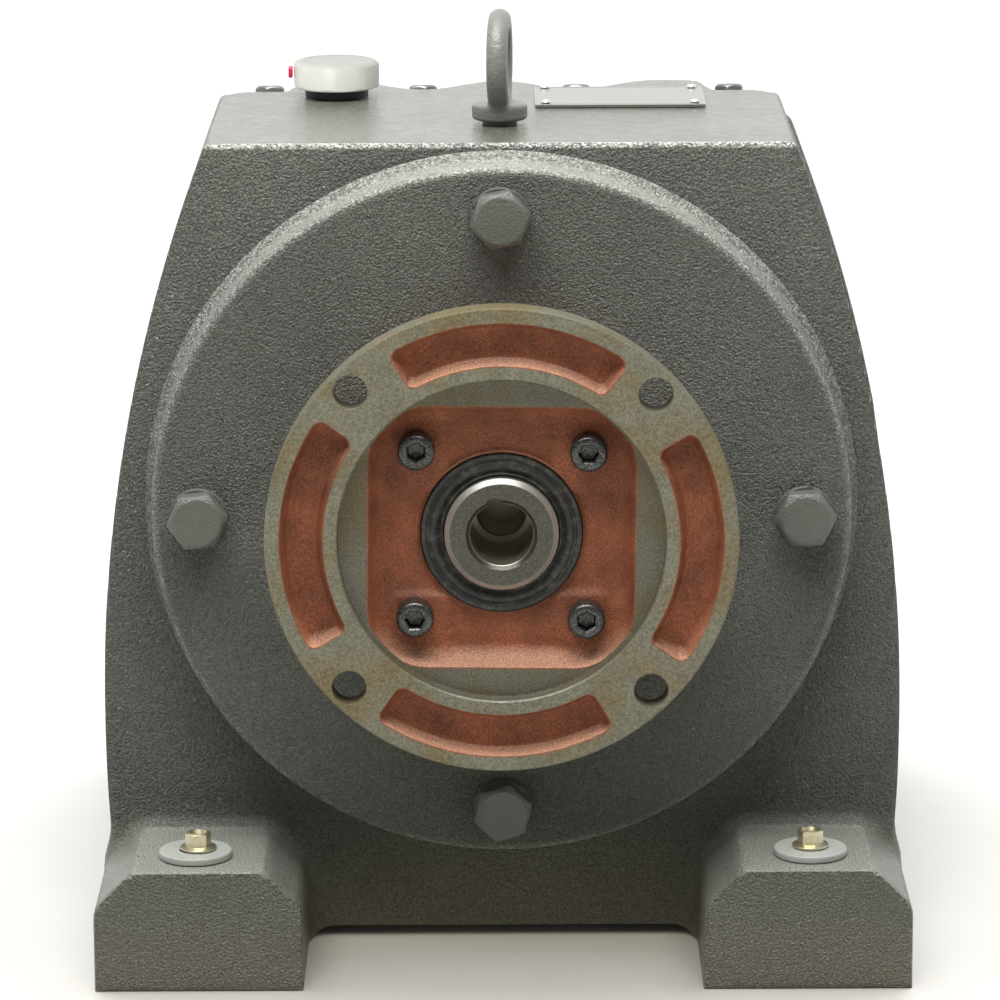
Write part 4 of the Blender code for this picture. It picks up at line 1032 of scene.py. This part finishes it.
def gear(teeth, first_tooth, centre_depth, width, hand, centre, bore=0.0):
    """A helical gear with its teeth chamfered at both faces, solid or with a bore."""
    bm = bmesh.new()
    twist = hand * HELIX / (MODULE * teeth / 2)
    layers = 8
    inset = 1 - 2 * TOOTH_CHAMFER / width
    levels = [(-0.5, TOOTH_CHAMFER)] + [((k / layers - 0.5) * inset, 0.0) for k in range(layers + 1)]
    loops = []
    for share, shrink in levels + [(0.5, TOOTH_CHAMFER)]:
        offset = share * width
        outline = tooth_outline(teeth, first_tooth, shrink)
        points = [polar(radius, angle + twist * offset) for angle, radius in outline]
        loops.append(add_loop(bm, points, centre_depth + offset, centre))
    loft(bm, loops)
    rings = []
    for loop, depth in ((loops[0], centre_depth - width / 2), (loops[-1], centre_depth + width / 2)):
        inner = add_loop(bm, circle(bore or 4.0, 64), depth, centre)
        fill(bm, loop, inner)
        rings.append(inner)
        if not bore:
            bm.faces.new(inner)
    if bore:
        bridge(bm, rings[0], rings[1])
    return bm


def make_wheel(node, body, bm, grooves, inner, outer, centre):
    """A gear wheel with a round groove in each face, around its hub."""
    wheel = plain_object(f"{node}_cut", bm)
    for start, end in grooves:
        groove = [(inner, start), (outer, start), (outer, end), (inner, end)]
        combine(wheel, turned(groove, centre, 96), "DIFFERENCE")
    dress(wheel, "gear_steel", [node], 30, body)


def make_quill():
    outline = [
        (0, 66.5), (8.5, 67.5), (8.5, 47.6), (9.1, 47), (11.15, 47), (11.15, 12.1), (12.55, 10.6),
        (18.3, 10.6), (20, 12.4), (20, 74.3), (22.1, 74.3), (22.5, 74.8), (22.5, 78.5), (16, 78.5), (16, 114),
        (15.4, 114.6), (0, 114.6)
    ]
    quill = plain_object("input_quill_ground", turned(outline, MAIN, 128, closed=False))
    keyway = [(-2.38, 5), (2.38, 5), (2.38, 13.0), (2.0, 13.4), (-2.0, 13.4), (-2.38, 13.0)]
    keyway = [(x, z + AXIS_HEIGHT) for x, z in turned_points(keyway, math.radians(12))]
    combine(quill, prism(keyway, 5.0, 46.5), "DIFFERENCE")
    combine(quill, gear(16, -math.pi / 2, FIRST_MESH, 30, 1, MAIN), "UNION")
    dress(quill, "quill", ["input_quill"], 30, "input")


def make_lay_train():
    upward = math.pi / 2
    grooves = ((80, FIRST_MESH - 9), (FIRST_MESH + 9, 115))
    wheel = gear(48, upward + math.pi / 48, FIRST_MESH, 26, -1, LAY, 15.6)
    make_wheel("lay_gear", "lay", wheel, grooves, 24, 50, LAY)
    outline = soften([
        (0, 82), (15, 82, 0.8), (15, 113, 0.4), (17, 113, 0.8), (17, 127, 0.8), (12.5, 127, 0.6), (12.5, 145),
        (14.2, 145, 0.5), (14.2, 278, 0.5), (12.5, 278, 0.6), (12.5, 293, 0.9), (0, 293)
    ])
    shaft = plain_object("lay_shaft_ground", turned(outline, LAY, 64, closed=False))
    combine(shaft, gear(14, upward + math.pi / 14, SECOND_MESH, 44, 1, LAY), "UNION")
    dress(shaft, "gear_steel", ["lay_shaft"], 30, "lay")


def make_output_train():
    grooves = ((165, SECOND_MESH - 11), (SECOND_MESH + 11, 220))
    wheel = gear(50, -math.pi / 2, SECOND_MESH, 40, -1, MAIN, 28.6)
    make_wheel("output_gear", "output", wheel, grooves, 38, 54, MAIN)
    end = corners("output_shaft")[1].y
    outline = soften([
        (0, 119), (20, 119, 1), (20, 146, 0.5), (28, 146, 0.8), (28, 214, 0.4), (32, 214, 1), (32, 279, 1),
        (25, 279, 0.8), (25, 320, 0.8), (22.5, 320, 1.2), (22.5, end - 1.6, 0.3), (20.9, end, 0.3),
        (6.2, end, 0.3), (1.6, end - 8), (1.6, end - 12), (0, end - 13)
    ])
    shaft = plain_object("output_shaft_ground", turned(outline, MAIN, 96, closed=False))
    low, high = corners("output_key")
    seat = rounded_box(low.x - 0.3, low.y - 0.3, high.x + 0.3, high.y + 0.3, 7, 12)
    combine(shaft, prism(seat, low.z - 0.3, low.z + 20, "Z"), "DIFFERENCE")
    dress(shaft, "shaft", ["output_shaft"], 30, "output")
    outline = rounded_box(low.x, low.y, high.x, high.y, 6.8, 12)
    key = plain_object("output_key_bright", prism(outline, low.z, high.z, "Z"))
    bevel(key, 0.5)
    dress(key, "dull_steel", ["output_key"], 30, "output")


def make_bearings():
    bore_radii = {34: 20, 40: 20, 26: 12.5, 45: 25}
    names = ("input_bearing_front", "input_bearing_rear", "lay_bearing_front", "lay_bearing_rear")
    for node in names + ("output_bearing_inner", "output_bearing_outer"):
        low, high = corners(node)
        start, end = low.y, high.y
        outer = (high.x - low.x) / 2
        inner = bore_radii[round(outer)] + 0.3
        wall = (outer - inner) * 0.24
        pitch = (inner + outer) / 2
        centre = LAY if node.startswith("lay") else MAIN
        bm = bmesh.new()
        for a, b in ((inner, inner + wall), (outer - wall, outer)):
            race = [(a, start, 0.9), (b, start, 0.9), (b, end, 0.9), (a, end, 0.9)]
            lathe(bm, soften([(a, start + 2)] + race + [(a, start + 2.1)]), centre, 72)
        for near, far in ((start + 1.0, start + 1.5), (end - 1.5, end - 1.0)):
            shield = [(inner + wall + 0.4, near), (pitch, near + 0.35), (outer - wall - 0.05, near)]
            shield += [(outer - wall - 0.05, far), (pitch, far + 0.35), (inner + wall + 0.4, far)]
            lathe(bm, shield, centre, 72)
        add_piece(f"{node}_ball", bm, "dull_steel", node, 40)


# ---------------------------------------------------------------- output end

def make_output_end():
    low, high = corners("output_cover")
    face = high.y
    outline = soften([
        (37.3, low.y + 1), (37.3, low.y, 0.3), (66, low.y, 0.3), (66, face, 2.4), (47, face, 0.8),
        (45, face - 2, 0.8), (39.5, face - 2, 0.6), (38.5, face, 0.6), (36.3, face, 0.5), (36.3, low.y + 3),
        (37.3, low.y + 3)
    ])
    cover = plain_object("output_cover_painted", turned(outline, MAIN, 128))
    places = [middle(f"output_cover_bolt_{k}") for k in range(1, 5)]
    drill(cover, [(place, 4.3, low.y - 2, face + 2) for place in places])
    dress(cover, "cover", ["output_cover"], 40)

    low, high = corners("output_seal")
    lip = soften([
        (36, low.y + 1), (36, high.y, 0.4), (31.5, high.y, 0.4), (30.4, high.y - 1.3, 0.4),
        (28.6, high.y - 1.4, 0.4), (27.6, high.y - 0.2, 0.5), (26.3, high.y - 0.2, 0.4),
        (25.3, high.y - 1.3, 0.3), (25.3, low.y, 0.5), (36, low.y, 0.5), (36, low.y + 0.9)
    ])
    add_piece("output_seal_moulded", turned(lip, MAIN, 96), "rubber", "output_seal", 50)

    for k, place in enumerate(places, 1):
        low, high = corners(f"output_cover_bolt_{k}")
        seat = face + 0.3
        bm = hex_head(13, high.y, seat, place, 0.3 * k)
        shank(bm, place, low.y, seat + 0.1, 4)
        add_piece(f"output_cover_bolt_zinc_{k}", bm, "dull_steel", f"output_cover_bolt_{k}", 50)

    for node in ("oil_level_plug", "oil_drain_plug"):
        low, high = corners(node)
        place = middle(node)
        seat = CASE_REAR + 0.3
        bm = hex_head(14, high.y, seat + 1.4, place, 0.0)
        collar = soften([(7.2, seat), (10, seat, 0.3), (10, seat + 1.6, 0.5), (7.2, seat + 1.6)])
        lathe(bm, [(0, seat)] + collar + [(0, seat + 1.6)], place, 48, closed=False)
        shank(bm, place, low.y, seat + 0.1, 7, (0.7, 0.8), 40)
        add_piece(f"{node}_bright", bm, "dull_steel", node, 45)


# ---------------------------------------------------------------- top fittings

def make_inspection():
    """The cover on the falling platform, its gasket and its eight screws, drawn level and leant back."""
    screw_x = (-87.0, -29.0, 29.0, 87.0)
    rows = (200.0, 286.0)
    front = HATCH[1] - 1
    plate = rounded_box(-98, front, 98, CASE_REAR - 4, 8, 5)
    for name, look, low, high, edge in (
        ("inspection_gasket", "fibre", PLATFORM_HEIGHT + 0.3, PLATFORM_HEIGHT + 1.3, 0.0),
        ("inspection_cover", "cover", PLATFORM_HEIGHT + 1.6, PLATFORM_HEIGHT + 7.6, 0.9),
    ):
        obj = plain_object(f"{name}_flat", prism(plate, low, high, "Z"))
        for x in screw_x:
            tongue = arc_points(x, rows[0], 7, 180, 360, 12) + [(x + 7, front + 9), (x - 7, front + 9)]
            combine(obj, prism(tongue, low, high, "Z"), "UNION")
        if edge:
            bevel(obj, edge, 3, 40)
        drill(obj, [(Vector((x, depth, 0)), 3.3, low - 2, high + 2, "Z") for x in screw_x for depth in rows])
        if not edge:
            combine(obj, prism(rounded_box(*HATCH, 8), low - 2, high + 2, "Z"), "DIFFERENCE")
        bm = bmesh.new()
        bm.from_mesh(obj.data)
        lean_back(bm)
        bm.to_mesh(obj.data)
        bm.free()
        dress(obj, look, [name], 40)
    seat = PLATFORM_HEIGHT + 7.9
    for number, (depth, x) in enumerate(itertools.product(rows, screw_x), 1):
        place = Vector((x, depth, 0))
        bm = hex_head(10, seat + 4, seat, place, 0.35 * number, "Z", 0.4)
        shank(bm, place, seat - 16, seat + 0.1, 3, (0.6, 0.6), 32, "Z")
        lean_back(bm)
        add_piece(f"inspection_screw_zinc_{number}", bm, "dull_steel", f"inspection_screw_{number}", 50)


def make_eyebolt():
    low, high = corners("eyebolt")
    place = Vector((0, (low.y + high.y) / 2, 0))
    ring_radius, bar_radius = 14.4, 4.15
    ring_height = high.z - ring_radius - bar_radius
    seat = DECK_HEIGHT + 0.3
    turn = math.radians(86)

    def distance(x, depth, z):
        along = x * math.cos(turn) + (depth - place.y) * math.sin(turn)
        across = -x * math.sin(turn) + (depth - place.y) * math.cos(turn)
        radial = np.hypot(along, z - ring_height) - ring_radius
        eye = np.hypot(radial, across) - bar_radius
        flat_sides = np.abs(across) - 3.95
        eye = trim(eye, flat_sides, 0.8)
        radius = np.hypot(x, depth - place.y)
        collar = trim(radius - 10, np.maximum(seat + 1.5 - z, z - seat - 7.2), 1.3)
        neck = np.maximum(radius - 6.3, np.maximum(z - seat - 3, seat - 13.5 - z))
        return np.minimum(fillet(eye, collar, 2.2), neck)

    box_low = (-11.5, low.y - 1.2, low.z - 0.8)
    box_high = (11.5, high.y + 1.2, high.z + 1.2)
    dress(cast_object("eyebolt_forged", distance, box_low, box_high, 0.6, 0.6), "eye_paint", ["eyebolt"], 60)


def eight_sided(radius, facet):
    """A circle whose eight sides are flattened by a share facet."""
    points = []
    for k in range(96):
        angle = 2 * math.pi * k / 96
        within = (angle + math.radians(8)) % (math.pi / 4) - math.pi / 8
        flat = math.cos(math.pi / 8) / math.cos(within) * 1.045
        points.append(polar(radius * (1 - facet + facet * min(1.0, flat)), angle))
    return points


def make_breather():
    low, high = corners("breather_neck")
    place = (low + high) / 2
    seat = DECK_HEIGHT + 0.3
    outline = [(0, low.z), (8, low.z, 0.5), (8, seat), (11.8, seat, 0.3), (11.8, high.z, 0.3), (0, high.z)]
    neck = turned(soften(outline), place, 64, "Z", closed=False)
    add_piece("breather_neck_moulded", neck, "black", "breather_neck", 40)
    low, high = corners("breather_cap")
    levels = [
        (12.6, 0, low.z), (14.4, 0, low.z), (15.4, 0.25, low.z + 0.35), (15.9, 0.5, low.z + 1.0),
        (15.95, 0.5, high.z - 1.7), (15.7, 0.5, high.z - 1.15), (14.9, 0.3, high.z - 0.45),
        (13.8, 0.1, high.z - 0.1), (12.4, 0, high.z), (11.9, 0, high.z - 0.25), (11.3, 0, high.z - 0.3)
    ]
    bm = bmesh.new()
    capped_loft(bm, [add_loop(bm, eight_sided(radius, facet), z, place, "Z") for radius, facet, z in levels])
    add_piece("breather_cap_moulded", bm, "white", "breather_cap", 35)
    low, high = corners("breather_tab")
    outline = rounded_box(low.y, low.z, high.y, high.z, 1.1, 5)
    bm = bmesh.new()
    capped_loft(bm, [[bm.verts.new(row(x, depth, z)) for depth, z in outline] for x in (low.x, high.x)])
    tab = plain_object("breather_tab_moulded", bm)
    bevel(tab, 0.3, 2, 40)
    dress(tab, "red", ["breather_tab"], 40)


def make_nameplate():
    """A blank plate with a pressed border line, and its four rivets."""
    low, high = corners("nameplate")
    top = high.z
    steps = [
        (0.0, low.z), (0.0, top - 0.15), (0.2, top), (1.5, top), (1.8, top - 0.25), (2.2, top - 0.25),
        (2.5, top - 0.02)
    ]
    bm = bmesh.new()
    loops = []
    for inset, z in steps:
        corner = max(2 - inset, 0.6)
        outline = rounded_box(low.x + inset, low.y + inset, high.x - inset, high.y - inset, corner, 5)
        loops.append(add_loop(bm, outline, z, ORIGIN, "Z"))
    capped_loft(bm, loops)
    plate = plain_object("nameplate_blank", bm)
    places = [middle(f"nameplate_rivet_{k}") for k in range(1, 5)]
    drill(plate, [(place, 1.15, low.z - 1, top + 1, "Z") for place in places])
    dress(plate, "aluminium", ["nameplate"], 40)
    for k, place in enumerate(places, 1):
        foot, head = corners(f"nameplate_rivet_{k}")
        under = top + 0.3
        outline = [
            (0, foot.z), (0.9, foot.z), (0.9, under), (1.9, under), (1.9, under + 0.25), (1.65, under + 0.65),
            (1.2, under + 0.93), (0.6, head.z - 0.04), (0, head.z)
        ]
        rivet = turned(outline, place, 32, "Z", closed=False)
        add_piece(f"nameplate_rivet_domed_{k}", rivet, "rivet", f"nameplate_rivet_{k}", 50)


def make_foot_fittings():
    for name, spin in (("left", 0.2), ("right", -0.15)):
        low, high = corners(f"foot_washer_{name}")
        seat = high.z + 0.3
        outline = soften([
            (5.5, low.z + 1), (5.5, low.z, 0.3), (13, low.z, 0.4), (13, high.z, 0.8), (5.5, high.z, 0.6),
            (5.5, low.z + 1.1)
        ])
        washer = turned(outline, (low + high) / 2, 96, "Z")
        add_piece(f"foot_washer_{name}_painted", washer, "washer_paint", f"foot_washer_{name}", 50)
        low, high = corners(f"foot_bolt_{name}")
        place = (low + high) / 2
        bm = dished_hex(8, high.z, seat + 1.0, place, spin)
        flange = [(6.5, seat, 0.3), (6.5, seat + 0.8, 0.3), (4.6, seat + 1.5, 0.5)]
        lathe(bm, soften([(0, seat)] + flange + [(0, seat + 1.5)]), place, 64, "Z", closed=False)
        shank(bm, place, low.z, seat + 0.1, 4, axis="Z")
        add_piece(f"foot_bolt_{name}_zinc", bm, "zinc", f"foot_bolt_{name}", 40)


def dished_hex(flats, top, bottom, centre, spin):
    """A short hex head, hollowed in its end, standing up from bottom to top."""
    bm = bmesh.new()
    outline = hexagon(flats, 8, spin)
    rings = [add_loop(bm, [(0, 0)], top - 1.5, centre, "Z")]
    for scale, drop in ((0.35, 1.45), (0.62, 1.1), (0.72, 0.45), (0.78, 0.05), (0.9, 0.0)):
        rings.append(add_loop(bm, on_circle(outline, flats / 2 * scale), top - drop, centre, "Z"))
    tops = [top - (0.25 + max(0.0, math.hypot(a, b) - flats / 2) * 0.6) for a, b in outline]
    rings.append(add_loop(bm, outline, tops, centre, "Z"))
    rings.append(add_loop(bm, outline, bottom, centre, "Z"))
    loft(bm, rings)
    bm.faces.new(rings[-1])
    return bm


make_case()
make_cover()
make_flange()
make_cover_bolts()
make_flange_screws()
make_seal()
make_quill()
make_lay_train()
make_output_train()
make_bearings()
make_output_end()
make_inspection()
make_eyebolt()
make_breather()
make_nameplate()
make_foot_fittings()


# ---------------------------------------------------------------- camera, light and floor

VIEW_PLACE = (-0.0005, -1.932, 0.584)
VIEW_PITCH, VIEW_ROLL = math.radians(13.2), math.radians(-0.25)
VIEW_LENS = 184.39


def make_camera():
    data = bpy.data.cameras.new("view")
    data.sensor_width = 36
    data.lens = VIEW_LENS
    data.clip_end = 50
    camera = new_object("view", data)
    camera.location = VIEW_PLACE
    camera.rotation_mode = "QUATERNION"
    level = Vector((0, math.cos(VIEW_PITCH), -math.sin(VIEW_PITCH))).to_track_quat("-Z", "Y")
    camera.rotation_quaternion = level @ Matrix.Rotation(VIEW_ROLL, 4, "Z").to_quaternion()
    bpy.context.scene.camera = camera


def area_light(name, place, target, size, power, colour=(1, 1, 1)):
    data = bpy.data.lights.new(name, "AREA")
    data.shape = "RECTANGLE"
    data.size, data.size_y = size
    data.energy = power
    data.color = colour
    light = new_object(name, data)
    light.location = place
    light.rotation_mode = "QUATERNION"
    light.rotation_quaternion = (Vector(target) - Vector(place)).to_track_quat("-Z", "Y")
    return light


def light_only(light, objects):
    """Keeps a light to some objects, so that the others throw none of it back."""
    lit = bpy.data.collections.new(light.name + "_lights")
    for obj in objects:
        lit.objects.link(obj)
    light.light_linking.receiver_collection = lit


def make_studio():
    world = bpy.data.worlds.new("studio")
    world.use_nodes = True
    nodes, links = world.node_tree.nodes, world.node_tree.links
    coordinates = nodes.new("ShaderNodeTexCoord")
    parts = nodes.new("ShaderNodeSeparateXYZ")
    ramp = nodes.new("ShaderNodeMapRange")
    for name, value in (("From Min", -0.6), ("From Max", 0.7), ("To Min", 0.22), ("To Max", 1.3)):
        ramp.inputs[name].default_value = value
    links.new(coordinates.outputs["Generated"], parts.inputs[0])
    links.new(parts.outputs["Y"], ramp.inputs["Value"])
    links.new(ramp.outputs[0], nodes["Background"].inputs["Strength"])
    nodes["Background"].inputs["Color"].default_value = (1.0, 1.0, 1.0, 1.0)
    bpy.context.scene.world = world
    area_light("key", (-0.7, -1.5, 2.2), (0, 0, 0.15), (1.2, 0.8), 5)
    softbox = area_light("softbox", (-0.1, -0.4, 1.02), (-0.05, -0.2, 0.1), (0.9, 0.6), 17)
    unlit = ("breather_cap_moulded", "nameplate_blank")
    meshes = [obj for obj in bpy.context.scene.objects if obj.type == "MESH"]
    light_only(softbox, [obj for obj in meshes if obj.name not in unlit])
    front_card = area_light("front_card", (-0.4, -1.2, 0.45), (-0.06, 0, 0.3), (0.6, 0.6), 14)
    light_only(front_card, [bpy.data.objects["breather_cap_moulded"]])
    bpy.context.scene.view_settings.view_transform = "Standard"


def make_floor():
    m = Material("pale_floor")
    tone = m.mix(m.noise(40, 3), (0.86, 0.86, 0.85), (0.9, 0.9, 0.89))
    outline = [(0, 0), (1000, 0), (3000, 0), (8000, 0)]
    floor = plain_object("floor", turned(outline, Vector((0, 200, 0)), 64, "Z", closed=False))
    floor.data.materials.append(m.finish(tone, 0.8))
    light_only(area_light("floor_rear", (0, 1.2, 2.6), (0, 1.2, 0), (3, 3), 60), [floor])
    warm = (1.0, 0.92, 0.74)
    light_only(area_light("floor_front", (0, -1.6, 1.3), (0, -0.25, 0), (1.4, 0.6), 15, warm), [floor])


make_camera()
make_studio()
make_floor()
